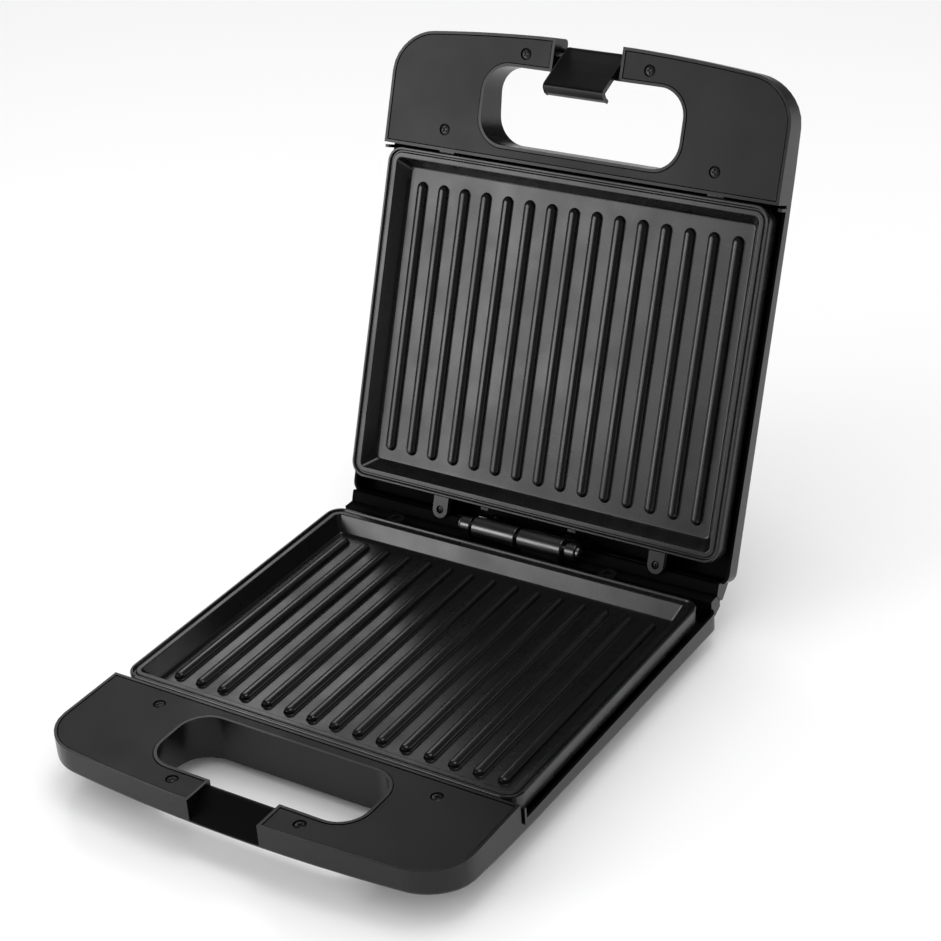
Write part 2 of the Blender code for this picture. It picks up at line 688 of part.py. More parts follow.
def base_electrics(frame):
    """The thermostat, thermal fuse, terminal block and wires under the lower plate."""
    bm = bmesh.new()
    column(bm, 7 * MM, 0, 46 * MM, (PLATE_UNDER + CLEAR, 20.5 * MM), 20)
    made = part("thermostat", bm, frame, CERAMIC)
    blades = bmesh.new()
    for side in (-1, 1):
        box(blades, sorted((side * 5 * MM, side * 11 * MM)), (44 * MM, 48 * MM),
            (18.6 * MM, 19.4 * MM))
    boolean(made, cutter("thermostat_blades", blades, frame), "UNION")

    bm = bmesh.new()
    lead = [at(x, 58 * MM, 18 * MM) for x in np.array([-14, -7, -6.5, 6.5, 7, 14]) * MM]
    tube(bm, lead, 2.1 * MM, 0.5 * MM)
    part("thermal_fuse", bm, frame, FUSE)

    bm = bmesh.new()
    box(bm, (-112 * MM, -90 * MM), (13.5 * MM, 24.5 * MM), (16.4 * MM, 22.4 * MM))
    made = part("terminal_block", bm, frame, CERAMIC)
    wells = bmesh.new()
    for x in (-107 * MM, -101 * MM, -95 * MM):
        column(wells, 1.9 * MM, x, 19 * MM, (15 * MM, 19.5 * MM), 12)
    boolean(made, cutter("terminal_block_wells", wells, frame))


def leads(name, frame, routes):
    """Insulated leads through (x, v) corners, each ending at its terminal."""
    for number, (corners, end) in enumerate(routes, 1):
        bm = bmesh.new()
        route = [at(x * MM, v * MM, LEAD_LEVEL) for x, v in fillet(corners, 5)]
        tube(bm, route + [at(end[0] * MM, end[1] * MM, ELEMENT_LEVEL)], LEAD_RADIUS)
        part(f"{name}_{number}", bm, frame, SILICONE)


# ---------------------------------------------------------------- hinge, latch, feet and lamps

def hinge_leaf(name, frame):
    """A leaf with a long knuckle, a short end ring and a foot that screws to the rear wall."""
    bm = bmesh.new()
    cylinder(bm, KNUCKLE_RADIUS, at(KNUCKLE_SPAN[0], 0, 0), at(KNUCKLE_SPAN[1], 0, 0), 32)
    made = part(name, bm, frame, HINGE)
    arms = bmesh.new()
    box(arms, (3 * MM, 27 * MM), ARM, (1 * MM, LEAF_FOOT[0] + 1 * MM))
    boolean(made, cutter(name + "_arm", arms, frame), "UNION")
    ring = bmesh.new()
    cylinder(ring, RING_RADIUS, at(-RING_SPAN[1], 0, 0), at(-RING_SPAN[0], 0, 0), 24)
    boolean(made, cutter(name + "_ring", ring, frame), "UNION")
    foot = bmesh.new()
    box(foot, (-RING_SPAN[1], 34 * MM), (ARM[0], 3.4 * MM), LEAF_FOOT)
    boolean(made, cutter(name + "_foot", foot, frame), "UNION")
    web = bmesh.new()
    box(web, (-RING_SPAN[1] + 0.4 * MM, -RING_SPAN[0] - 0.4 * MM), (ARM[0], 4.0 * MM),
        (1 * MM, LEAF_FOOT[0] + 1 * MM))
    boolean(made, cutter(name + "_web", web, frame), "UNION")
    bore = bmesh.new()
    cylinder(bore, PIN_RADIUS + CLEAR, at(-PIN_HALF, 0, 0), at(PIN_HALF, 0, 0), 20)
    for x in HINGE_SCREWS:
        cylinder(bore, PILOT, at(x, 6 * MM, HINGE_SCREW_LEVEL),
                 at(x, -2 * MM, HINGE_SCREW_LEVEL), 12)
    boolean(made, cutter(name + "_bores", bore, frame))


def hinge_pin(frame):
    """The pin through both leaves, with a rounded head and a groove for its clip."""
    across = Matrix.Rotation(math.pi / 2, 4, "Y")
    head, neck = PIN_HALF, RING_SPAN[1] + CLEAR
    groove = PIN_RADIUS - 0.5 * MM
    bm = bmesh.new()
    turned(bm, [(1.8 * MM, head + 0.4 * MM), (3.2 * MM, head - 0.4 * MM), (3.2 * MM, neck),
                (PIN_RADIUS, neck), (PIN_RADIUS, -neck - 0.2 * MM), (groove, -neck - 0.2 * MM),
                (groove, -neck - 1.4 * MM), (PIN_RADIUS, -neck - 1.4 * MM),
                (PIN_RADIUS - 0.4 * MM, -head - 0.4 * MM)], across, 16)
    part("hinge_pin", bm, frame, STEEL)
    bm = bmesh.new()
    low, high = -neck - 1.1 * MM, -neck - 0.5 * MM
    gap = [(-low, groove + CLEAR), (-low, 3.4 * MM), (-high, 3.4 * MM), (-high, groove + CLEAR)]
    turns = np.radians(np.linspace(30, 330, 13))
    rings = [[Vector((-a, r * math.cos(t), r * math.sin(t))) for a, r in gap] for t in turns]
    loft(bm, rings)
    part("hinge_pin_clip", bm, frame, SPRING_STEEL)


def hinge_screws(name, frame):
    """The screws that fix a leaf's foot to the rear wall and heel."""
    back = Matrix.Rotation(math.pi / 2, 4, "X")
    matrices = [Matrix.Translation(at(x, 5.4 * MM, HINGE_SCREW_LEVEL)) @ back
                for x in HINGE_SCREWS]
    screws(name, frame, matrices, 2.6 * MM, 1.6 * MM, 8 * MM)


def latch(frame):
    """The clip: a knuckle, a flat face and a hook, drawn as it hangs when closed."""
    inner_arc = arc((-0.8 * MM, LATCH_LENGTH - 3 * MM), 1.0 * MM, 90, 0, 3)
    outer_arc = arc((-0.8 * MM, LATCH_LENGTH - 3 * MM), 3.0 * MM, 0, 90, 5)
    tip = [(-3.4 * MM, LATCH_LENGTH - 0.3 * MM), (-LATCH_HOOK, LATCH_LENGTH - 1.8 * MM),
           (-LATCH_HOOK, LATCH_LENGTH - 3.6 * MM), (-3.0 * MM, LATCH_LENGTH - 2.2 * MM)]
    profile = [(LATCH_FRONT, 0)] + outer_arc + tip + inner_arc + [(LATCH_INNER, 0)]
    bm = bmesh.new()
    turn = Matrix(((0, 0, 1), (1, 0, 0), (0, 1, 0))).to_4x4()
    prism(bm, [(-out, down) for out, down in profile], 2 * LATCH_HALF, turn)
    made = part("latch", bm, frame, LATCH)
    knuckle = bmesh.new()
    cylinder(knuckle, LATCH_KNUCKLE, Vector((-LATCH_HALF, 0, 0)), Vector((LATCH_HALF, 0, 0)), 20)
    boolean(made, cutter("latch_knuckle", knuckle, frame), "UNION")
    bore = bmesh.new()
    cylinder(bore, PILOT, Vector((-REACH, 0, 0)), Vector((REACH, 0, 0)), 16)
    boolean(made, cutter("latch_bore", bore, frame))


def latch_pin(frame):
    """The wire pin that the latch turns on, held in the notch's walls."""
    bm = bmesh.new()
    half = NOTCH_HALF + WALL - 0.2 * MM
    cylinder(bm, SCREW_SHANK, at(-half, LATCH_V, LATCH_W), at(half, LATCH_V, LATCH_W), 16)
    part("latch_pin", bm, frame, STEEL)


def feet(frame):
    """The four rubber feet in their seats."""
    for number, (x, v) in enumerate(FEET, 1):
        bm = bmesh.new()
        turned(bm, [(FOOT_RADIUS, -FOOT_SEAT), (FOOT_RADIUS, -FOOT_LEVEL + 1.2 * MM),
                    (FOOT_RADIUS - 0.6 * MM, -FOOT_LEVEL + 0.3 * MM),
                    (FOOT_RADIUS - 1.4 * MM, -FOOT_LEVEL)], Matrix.Translation(at(x, v, 0)), 24)
        part(f"rubber_foot_{number}", bm, frame, RUBBER)


def cord_gland(frame):
    """The flanged bush in the rear wall that a mains lead would pass through."""
    bm = bmesh.new()
    back = Matrix.Translation(at(GLAND_X, 0, GLAND_LEVEL)) @ Matrix.Rotation(-math.pi / 2, 4, "X")
    flange = -SHELL.rear + CLEAR
    inside, outside = -4.2 * MM, flange + 3.4 * MM
    turned(bm, [(3.6 * MM, outside), (4.6 * MM, outside - 0.8 * MM), (6.6 * MM, flange + 0.6 * MM),
                (6.6 * MM, flange), (GLAND_RADIUS, flange), (GLAND_RADIUS, inside)], back, 24)
    made = part("cord_gland", bm, frame, RUBBER)
    bore = bmesh.new()
    cylinder(bore, 2.7 * MM, at(GLAND_X, REACH / 2, GLAND_LEVEL),
             at(GLAND_X, -REACH / 2, GLAND_LEVEL), 16)
    boolean(made, cutter("cord_gland_bore", bore, frame))


def indicators(frame):
    """The two lenses in the lid's outer face and the neon lamps behind them."""
    for name, x in LENSES.items():
        bm = bmesh.new()
        turned(bm, [(5.4 * MM, -25.8 * MM), (5.4 * MM, -26.9 * MM), (LENS_RADIUS, -26.9 * MM),
                    (LENS_RADIUS, -29.8 * MM), (LENS_RADIUS * 0.8, -30.5 * MM),
                    (LENS_RADIUS * 0.4, -30.9 * MM)], Matrix.Translation(at(x, LENS_V, 0)))
        part(name, bm, frame, POWER_LENS if name == "power_lens" else READY_LENS)
        bm = bmesh.new()
        turned(bm, [(1.2 * MM, -14.5 * MM), (2.5 * MM, -16 * MM), (2.5 * MM, -23.5 * MM),
                    (1.0 * MM, -25.2 * MM)], Matrix.Translation(at(x, LENS_V, 0)), 12)
        part(name.replace("lens", "lamp"), bm, frame, LAMP_GLASS)


# ---------------------------------------------------------------- assembly

def half(side, frame, is_lid):
    """Everything that the base and the lid have in common."""
    shell(side + "_shell", frame, is_lid)
    cover(side + "_handle_cover", frame)
    screws(side + "_cover_screw", frame, driven_outward(screw_places(), COVER_TOP + 0.2 * MM),
           2.8 * MM, 1.0 * MM, 9 * MM)
    grill_plate(side + "_grill_plate", frame)
    ears = driven_outward([(x, EAR_CENTRE) for x in EARS], EAR_LEVELS[0] + EAR_SINK)
    screws(side + "_plate_screw", frame, ears, EAR_SEAT - CLEAR, 1.0 * MM, 8.5 * MM)
    heating_element(side + "_heating_element", frame)
    reflector(side + "_heat_reflector", frame)
    clamps(side + "_element_clamp", frame)
    clamp_screws(side + "_clamp_screw", frame)
    hinge_leaf(side + "_hinge_leaf", frame)
    hinge_screws(side + "_hinge_screw", frame)


clear_scene()
PARTS = collection("panini_press")
CUTTERS = collection("cutters")

HOUSING = finish("moulded housing", (0.012, 0.012, 0.013), 0.32)
COVER = finish("handle cover", (0.016, 0.016, 0.017), 0.42)
COATING = finish("non-stick coating", (0.035, 0.036, 0.038), 0.38, 0.3)
HINGE = finish("hinge enamel", (0.02, 0.02, 0.022), 0.22)
LATCH = finish("latch", (0.02, 0.02, 0.021), 0.3)
SCREW = finish("blackened screw", (0.03, 0.03, 0.032), 0.35, 0.9)
STEEL = finish("bright steel", (0.55, 0.55, 0.56), 0.3, 1.0)
SPRING_STEEL = finish("spring steel", (0.45, 0.45, 0.46), 0.35, 1.0)
SHEATH = finish("element sheath", (0.2, 0.2, 0.19), 0.45, 1.0)
REFLECTOR_METAL = finish("aluminised steel", (0.6, 0.6, 0.6), 0.4, 1.0)
CERAMIC = finish("ceramic", (0.75, 0.72, 0.66), 0.5)
FUSE = finish("fuse sleeve", (0.8, 0.78, 0.7), 0.6)
SILICONE = finish("silicone lead", (0.5, 0.06, 0.04), 0.5)
RUBBER = finish("rubber", (0.02, 0.02, 0.02), 0.8)
POWER_LENS = finish("red lens", (0.6, 0.03, 0.02), 0.15)
READY_LENS = finish("green lens", (0.03, 0.45, 0.08), 0.15)
LAMP_GLASS = finish("lamp glass", (0.8, 0.75, 0.7), 0.1)

BASE = empty("base_frame", (0, AXIS_BACK, FOOT_LEVEL))
LID = empty("lid_frame", (0, AXIS_BACK, FOOT_LEVEL), (LID_OPEN, math.pi, 0))
LATCH_FRAME = empty("latch_frame", at(0, LATCH_V, LATCH_W), (-LATCH_REST, 0, 0), LID)

half("lower", BASE, False)
half("upper", LID, True)
hinge_pin(BASE)
base_electrics(BASE)
cord_gland(BASE)
feet(BASE)
leads("lower_lead", BASE, (
    (((-89.4, 15.5), (12, 15.5), (12, 31)), (19.4, 34)),
    (((-89.4, 19.5), (-14, 19.5), (-14, 44)), (-12.2, 46.2))))
leads("upper_lead", LID, (
    (((-52, 15.5), (10, 15.5), (10, 31)), (19.4, 34)),
    (((-52, 19.5), (-10, 19.5), (-10, 31)), (-19.4, 34))))
indicators(LID)
latch(LATCH_FRAME)
latch_pin(LID)
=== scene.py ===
"""The looks of a hinged panini press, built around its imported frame.

Each half is shaped in a frame of its own, with the origin on the hinge axis: x runs across the
press, v runs forward from the axis, and w runs outward from the plane midway between the two
closed halves. Both halves use the same shapes, and the lid's frame is turned half way round.
"""
import json
import math
from collections import namedtuple

import bmesh
import bpy
import numpy as np
from bpy.props import FloatProperty, FloatVectorProperty, PointerProperty
from mathutils import Euler, Matrix, Vector

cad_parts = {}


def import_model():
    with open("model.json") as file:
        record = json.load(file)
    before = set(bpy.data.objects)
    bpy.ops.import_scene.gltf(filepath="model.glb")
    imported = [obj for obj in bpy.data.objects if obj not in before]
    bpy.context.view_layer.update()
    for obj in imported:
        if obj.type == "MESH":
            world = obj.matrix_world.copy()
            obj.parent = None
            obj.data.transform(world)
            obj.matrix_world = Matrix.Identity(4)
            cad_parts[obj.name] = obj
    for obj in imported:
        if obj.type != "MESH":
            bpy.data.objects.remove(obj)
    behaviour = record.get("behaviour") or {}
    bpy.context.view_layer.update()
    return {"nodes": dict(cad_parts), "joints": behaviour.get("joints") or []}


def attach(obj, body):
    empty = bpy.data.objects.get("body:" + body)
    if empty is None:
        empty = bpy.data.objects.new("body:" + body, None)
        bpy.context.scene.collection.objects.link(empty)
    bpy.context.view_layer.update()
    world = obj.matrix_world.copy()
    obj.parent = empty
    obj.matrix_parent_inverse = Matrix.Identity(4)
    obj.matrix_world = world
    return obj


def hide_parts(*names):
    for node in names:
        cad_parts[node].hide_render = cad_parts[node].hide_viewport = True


bl_info = {
    "name": "Panini Press",
    "version": (1, 0, 0),
    "blender": (4, 5, 0),
    "location": "View3D > Sidebar > Panini Press",
    "description": "Builds the housings, grill plates, hinge and latch of an open panini press",
    "category": "Object",
}

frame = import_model()

MM = 0.001
HINGE = next(j for j in frame["joints"] if j["name"] == "lid_hinge")

# How the halves stand.
LID_OPEN = math.radians(110.7)
LATCH_REST = math.radians(43)

Outline = namedtuple("Outline", "half front rear front_radius rear_radius")

# The housing.
SHELL = Outline(121.2 * MM, 271.4 * MM, -1.0 * MM, 24 * MM, 6 * MM)
BOW_RADIUS = 950 * MM
BOW_START = 200 * MM
WALL = 1.6 * MM
FLOOR = 2.0 * MM
HANDLE_TOP = 2.9 * MM
WELL_TOP = 13.5 * MM
EDGE_ROUND = 2.5 * MM
CROWN_RUN = 34 * MM
EDGE_STATIONS = np.array([-1, 190, 222, 271.4]) * MM
EDGE_DEPTHS = np.array([25, 21.4, 20.3, 17.0]) * MM
CROWN_STATIONS = np.array([195, 210, 230, 253, 271.4]) * MM
CROWN_DEPTHS = np.array([29.6, 28.0, 24.0, 20.8, 17.6]) * MM
PARTITION = (202.4 * MM, 204.0 * MM)
CLEAR = 0.3 * MM
SEAM = 0.4 * MM
HEEL_HALF = 118 * MM
HEEL_TOP = 9.2 * MM
STOP_GAP = 0.2 * MM
TAB_X = (119.9 * MM, 122.2 * MM)
TAB_V = (199.2 * MM, 200.8 * MM)
TAB_W = (6.0 * MM, 15.0 * MM)

# The finger opening and the latch notch.
OPENING_HALF = 60.8 * MM
OPENING_SPAN = (210.5 * MM, 253.1 * MM)
OPENING_RADIUS = 15 * MM
NOTCH_HALF = 20.5 * MM
STRIP_LEVEL = 5.2 * MM
STRIP_CHAMFER = 1.0 * MM

# The handle cover and its screws.
COVER_TOP = 3.2 * MM
COVER_BOTTOM = 5.2 * MM
COVER_SCREWS = ((82.9 * MM, 214.1 * MM), (37.6 * MM, 260.7 * MM))
BOSS_RADIUS = 3.4 * MM
SHANK = 1.25 * MM
PILOT = SHANK + CLEAR

# The grill plate.
PLATE = Outline(117.6 * MM, 201.2 * MM, 10.8 * MM, 9 * MM, 9 * MM)
RIB_COUNT = 15
RIB_PITCH = 14 * MM
RIB_HALF = 2.9 * MM
RIB_SPAN = (28.3 * MM, 182.5 * MM)
EARS = (56.8 * MM, -80.8 * MM)
EAR_CENTRE = 2.6 * MM
EAR_LEVELS = (6.3 * MM, 8.8 * MM)
EAR_RADIUS = 4.4 * MM
EAR_SEAT = 2.35 * MM
EAR_SINK = 0.8 * MM
TONGUE_X = 83 * MM
TONGUE_HALF = 5 * MM
LUG_X = 28 * MM
LUG_HALF = 2.6 * MM

# The hinge.
KNUCKLE_RADIUS = 5.7 * MM
RING_RADIUS = 4.5 * MM
KNUCKLE_SPAN = (0.9 * MM, 28.5 * MM)
RING_SPAN = (30.5 * MM, 36.5 * MM)
PIN_RADIUS = 2.0 * MM
PIN_HALF = 38.4 * MM
ARM = (0.95 * MM, 4.2 * MM)
LEAF_FOOT = (11.5 * MM, 21.0 * MM)
HINGE_SCREWS = (-22 * MM, 24 * MM)
HINGE_SCREW_LEVEL = 15.5 * MM

# The latch.
LATCH_V = 264.8 * MM
LATCH_W = 14.3 * MM
LATCH_HALF = 18.1 * MM
LATCH_KNUCKLE = 2.4 * MM
LATCH_LENGTH = 30.2 * MM
HOOK_GROOVE = ((261.3 * MM, 268.6 * MM), (16.1 * MM, 24 * MM))

# The base's feet and gland, and the lid's lenses.
FEET = ((-80 * MM, 24 * MM), (80 * MM, 24 * MM), (-58 * MM, 200 * MM), (58 * MM, 200 * MM))
FOOT_LEVEL = HINGE["pos_m"][2]
FOOT_RADIUS = 7.5 * MM
FOOT_SEAT = 28.5 * MM
GLAND_X = -92 * MM
GLAND_LEVEL = 17.5 * MM
GLAND_RADIUS = 5.0 * MM
BAY_HALF = 8 * MM
BAY_TOP = 10.6 * MM
LENSES = {"power_lens": -11 * MM, "ready_lens": 11 * MM}
LENS_V = 193.6 * MM
LENS_RADIUS = 4.0 * MM

SHARP = math.radians(32)
REACH = 60 * MM


# ------------------------------------------------------------------ places

def at(x, v, w):
    """A point of a half, in its own frame."""
    return Vector((x, -v, -w))


def half_place(side):
    """The matrix of a half's frame."""
    turn = Euler((LID_OPEN, math.pi, 0)) if side == "upper" else Euler((0, 0, 0))
    return Matrix.Translation(HINGE["pos_m"]) @ turn.to_matrix().to_4x4()


def latch_place():
    """The matrix of the latch's frame, on its pin."""
    return (half_place("upper") @ Matrix.Translation(at(0, LATCH_V, LATCH_W))
            @ Matrix.Rotation(-LATCH_REST, 4, "X"))


def body_of(side):
    """The body that a half belongs to."""
    return "lid" if side == "upper" else "base"


# ------------------------------------------------------------------ solids

def loft(bm, rings):
    """Add a solid through rings of equally many points, with both ends capped."""
    loops = [[bm.verts.new(point) for point in ring] for ring in rings]
    count = len(loops[0])
    for first, second in zip(loops, loops[1:]):
        for i in range(count):
            j = (i + 1) % count
            bm.faces.new((first[i], first[j], second[j], second[i]))
    bm.faces.new(loops[0])
    bm.faces.new(reversed(loops[-1]))


def turned(bm, profile, matrix, segments=48):
    """Add a turned solid: (radius, height) pairs around the matrix's Z."""
    turns = np.arange(segments) * 2 * math.pi / segments
    loft(bm, [[matrix @ Vector((r * math.cos(t), r * math.sin(t), h)) for t in turns]
              for r, h in profile])


def box(bm, x, v, w):
    """Add a box between pairs of x, v and w."""
    low, high = at(x[0], v[1], w[1]), at(x[1], v[0], w[0])
    matrix = Matrix.Translation((low + high) / 2) @ Matrix.Diagonal((*(high - low), 1))
    bmesh.ops.create_cube(bm, size=1, matrix=matrix)


def rod(bm, radius, start, end, segments=40, soft=0.0):
    """Add a round bar between two points, with softened ends if asked."""
    axis = end - start
    turn = Matrix.Translation(start) @ axis.to_track_quat("Z", "Y").to_matrix().to_4x4()
    length = axis.length
    ends = [(radius - soft * (1 - math.sin(t)), soft * (1 - math.cos(t)))
            for t in np.linspace(0, math.pi / 2, 5)] if soft else [(radius, 0)]
    turned(bm, ends + [(r, length - h) for r, h in reversed(ends)], turn, segments)


def column(bm, radius, x, v, w, segments=40):
    """Add a round bar that runs outward between two levels."""
    rod(bm, radius, at(x, v, w[0]), at(x, v, w[1]), segments)


def arc(centre, radius, start, end, steps):
    """Points on an arc in a plane, with the angles in degrees."""
    turns = np.radians(np.linspace(start, end, steps + 1))
    return [(centre[0] + radius * math.cos(t), centre[1] + radius * math.sin(t)) for t in turns]


def softened(corners, closed=True, steps=5):
    """A polyline of (a, b, radius) corners with each corner drawn as an arc."""
    points = []
    count = len(corners)
    for i, (a, b, radius) in enumerate(corners):
        here = Vector((a, b))
        if radius <= 0 or (not closed and i in (0, count - 1)):
            points.append((a, b))
            continue
        back = Vector(corners[i - 1][:2]) - here
        ahead = Vector(corners[(i + 1) % count][:2]) - here
        angle = back.angle(ahead)
        reach = min(radius / math.tan(angle / 2), 0.49 * back.length, 0.49 * ahead.length)
        size = reach * math.tan(angle / 2)
        start, end = here + back.normalized() * reach, here + ahead.normalized() * reach
        centre = here + (back.normalized() + ahead.normalized()).normalized() \
            * (size / math.sin(angle / 2))
        first, last = start - centre, end - centre
        sweep = first.angle_signed(last)
        for step in range(steps + 1):
            turn = -sweep * step / steps
            points.append((centre.x + first.x * math.cos(turn) - first.y * math.sin(turn),
                           centre.y + first.x * math.sin(turn) + first.y * math.cos(turn)))
    return points


def rounded_rectangle(half, rear, front, front_radius, rear_radius, steps=10):
    """The (x, v) outline of a rectangle with rounded corners."""
    return (arc((half - rear_radius, rear + rear_radius), rear_radius, -90, 0, steps)
            + arc((half - front_radius, front - front_radius), front_radius, 0, 90, steps)
            + arc((front_radius - half, front - front_radius), front_radius, 90, 180, steps)
            + arc((rear_radius - half, rear + rear_radius), rear_radius, 180, 270, steps))


def plan_solid(bm, outline, w):
    """Add an outline of (x, v) points between two levels."""
    loft(bm, [[at(x, v, level) for x, v in outline] for level in w])


def side_solid(bm, outline, x):
    """Add an outline of (v, w) points between two places across the press."""
    loft(bm, [[at(place, v, w) for v, w in outline] for place in x])


def holder(bm):
    """Put a bmesh in an object of its own, and free it."""
    bmesh.ops.recalc_face_normals(bm, faces=bm.faces)
    mesh = bpy.data.meshes.new("blank")
    bm.to_mesh(mesh)
    bm.free()
    made = bpy.data.objects.new("blank", mesh)
    bpy.context.scene.collection.objects.link(made)
    return made


def drop(thing):
    """Remove an object and its mesh."""
    mesh = thing.data
    bpy.data.objects.remove(thing)
    bpy.data.meshes.remove(mesh)


def evaluated(thing):
    """Return an object's mesh with its modifiers applied, and remove the object."""
    bpy.context.view_layer.update()
    graph = bpy.context.evaluated_depsgraph_get()
    mesh = bpy.data.meshes.new_from_object(thing.evaluated_get(graph))
    drop(thing)
    return mesh


def joined(bm, tool, operation="UNION"):
    """Return a bmesh joined or cut by another; both are used up."""
    target, other = holder(bm), holder(tool)
    modifier = target.modifiers.new("shape", "BOOLEAN")
    modifier.operation = operation
    modifier.solver = "EXACT"
    modifier.object = other
    mesh = evaluated(target)
    drop(other)
    made = bmesh.new()
    made.from_mesh(mesh)
    bpy.data.meshes.remove(mesh)
    return made


def cut(bm, tool):
    """Return a bmesh with a tool taken out of it."""
    return joined(bm, tool, "DIFFERENCE")


def soften(bm, radius, segments=2, angle=40, test=None):
    """Round the sharp edges that pass a test on their two ends."""
    limit = math.radians(angle)
    bmesh.ops.remove_doubles(bm, verts=bm.verts, dist=0.01 * MM)
    bmesh.ops.dissolve_degenerate(bm, edges=bm.edges, dist=0.01 * MM)
    sharp = [e for e in bm.edges if len(e.link_faces) == 2
             and e.calc_face_angle(0) > limit and (test is None or test(e))]
    bmesh.ops.bevel(bm, geom=sharp, offset=radius, segments=segments, profile=0.5,
                    affect="EDGES", clamp_overlap=True, loop_slide=True)
    return bm


def on_level(w):
    """A test for edges that lie in one level of a half."""
    return lambda edge: all(abs(vert.co.z + w) < 0.02 * MM for vert in edge.verts)


def piece(name, bm, place, materials, body, nodes):
    """Make a finished piece from a bmesh in a half's frame."""
    bmesh.ops.recalc_face_normals(bm, faces=bm.faces)
    mesh = bpy.data.meshes.new(name)
    bm.to_mesh(mesh)
    bm.free()
    return piece_of_mesh(name, mesh, place, materials, body, nodes)


def piece_of_mesh(name, mesh, place, materials, body, nodes):
    """Make a finished piece from a mesh in a half's frame."""
    mesh.transform(place)
    mesh.shade_smooth()
    mesh.set_sharp_from_angle(angle=SHARP)
    for material in materials if isinstance(materials, tuple) else (materials,):
        mesh.materials.append(material)
    made = bpy.data.objects.new(name, mesh)
    bpy.context.scene.collection.objects.link(made)
    weights = made.modifiers.new("even shading", "WEIGHTED_NORMAL")
    weights.keep_sharp = True
    weights.weight = 60
    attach(made, body)
    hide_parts(*nodes)
    return made


# ------------------------------------------------------------------ finishes

def node(tree, kind, **values):
    """Add a node and set its inputs by name."""
    made = tree.nodes.new(kind)
    for name, value in values.items():
        made.inputs[name.replace("_", " ")].default_value = value
    return made


def grain_group():
    """Fine moulded or sprayed grain: a mottle mask, a speckle mask and a height."""
    name = "surface grain"
    if name in bpy.data.node_groups:
        return bpy.data.node_groups[name]
    tree = bpy.data.node_groups.new(name, "ShaderNodeTree")
    for label, value in (("Coarse Scale", 60.0), ("Fine Scale", 900.0)):
        tree.interface.new_socket(label, in_out="INPUT",
                                  socket_type="NodeSocketFloat").default_value = value
    for label in ("Mottle", "Speckle", "Height"):
        tree.interface.new_socket(label, in_out="OUTPUT", socket_type="NodeSocketFloat")
    start = tree.nodes.new("NodeGroupInput")
    end = tree.nodes.new("NodeGroupOutput")
    place = tree.nodes.new("ShaderNodeTexCoord")
    coarse = node(tree, "ShaderNodeTexNoise", Detail=3.0, Roughness=0.55)
    fine = node(tree, "ShaderNodeTexNoise", Detail=2.0, Roughness=0.6)
    for noise, label in ((coarse, "Coarse Scale"), (fine, "Fine Scale")):
        tree.links.new(place.outputs["Object"], noise.inputs["Vector"])
        tree.links.new(start.outputs[label], noise.inputs["Scale"])
    speckle = node(tree, "ShaderNodeMapRange", From_Min=0.38, From_Max=0.68)
    tree.links.new(fine.outputs["Fac"], speckle.inputs["Value"])
    blend = node(tree, "ShaderNodeMath")
    blend.operation = "MULTIPLY_ADD"
    blend.inputs[1].default_value = 0.25
    tree.links.new(coarse.outputs["Fac"], blend.inputs[0])
    tree.links.new(fine.outputs["Fac"], blend.inputs[2])
    tree.links.new(coarse.outputs["Fac"], end.inputs["Mottle"])
    tree.links.new(speckle.outputs["Result"], end.inputs["Speckle"])
    tree.links.new(blend.outputs["Value"], end.inputs["Height"])
    return tree


def finish(name, colour, roughness, spread=0.2, uneven=0.05, coarse=60.0, fine=900.0, bump=0.05,
           depth=0.05, metallic=0.0, coat=0.0, specular=0.5, transmission=0.0, ior=1.5):
    """A material with grain in its colour, gloss and relief."""
    made = bpy.data.materials.get(name)
    if made:
        return made
    made = bpy.data.materials.new(name)
    made.use_nodes = True
    tree = made.node_tree
    shader = tree.nodes["Principled BSDF"]
    shader.inputs["Metallic"].default_value = metallic
    shader.inputs["Coat Weight"].default_value = coat
    shader.inputs["Coat Roughness"].default_value = 0.12
    shader.inputs["Specular IOR Level"].default_value = specular
    shader.inputs["Transmission Weight"].default_value = transmission
    shader.inputs["IOR"].default_value = ior
    grain = tree.nodes.new("ShaderNodeGroup")
    grain.node_tree = grain_group()
    grain.inputs["Coarse Scale"].default_value = coarse
    grain.inputs["Fine Scale"].default_value = fine
    mix = tree.nodes.new("ShaderNodeMix")
    mix.data_type = "RGBA"
    mix.inputs["A"].default_value = (*[c * (1 - spread) for c in colour], 1)
    mix.inputs["B"].default_value = (*[min(c * (1 + spread), 1) for c in colour], 1)
    tree.links.new(grain.outputs["Speckle"], mix.inputs["Factor"])
    tree.links.new(mix.outputs["Result"], shader.inputs["Base Color"])
    gloss = node(tree, "ShaderNodeMapRange", From_Min=0.3, From_Max=0.7,
                 To_Min=roughness - uneven, To_Max=roughness + uneven)
    tree.links.new(grain.outputs["Mottle"], gloss.inputs["Value"])
    tree.links.new(gloss.outputs["Result"], shader.inputs["Roughness"])
    relief = node(tree, "ShaderNodeBump", Strength=bump, Distance=depth * MM)
    tree.links.new(grain.outputs["Height"], relief.inputs["Height"])
    tree.links.new(relief.outputs["Normal"], shader.inputs["Normal"])
    return made


def housing_finish():
    look = bpy.context.scene.panini_finishes
    return finish("satin housing plastic", look.housing, look.housing_roughness,
                  spread=0.15, uneven=0.03, coarse=25, fine=1400, bump=0.06, depth=0.03,
                  specular=0.35)


# Painted shade: a darker, duller copy of the housing plastic stands in for the shade in the room
# under a grill plate and on the heel's front.
def painted_shade_wall_finish():
    return finish("inner wall with painted shade", (0.002, 0.002, 0.002), 0.75, spread=0.2, uneven=0.05,
                  coarse=40, fine=1200, bump=0.15, depth=0.04, specular=0.12)


def cover_finish():
    look = bpy.context.scene.panini_finishes
    return finish("fine matt cover plastic", look.cover, look.cover_roughness,
                  spread=0.3, uneven=0.03, coarse=25, fine=2200, bump=0.22, depth=0.04,
                  specular=0.4)


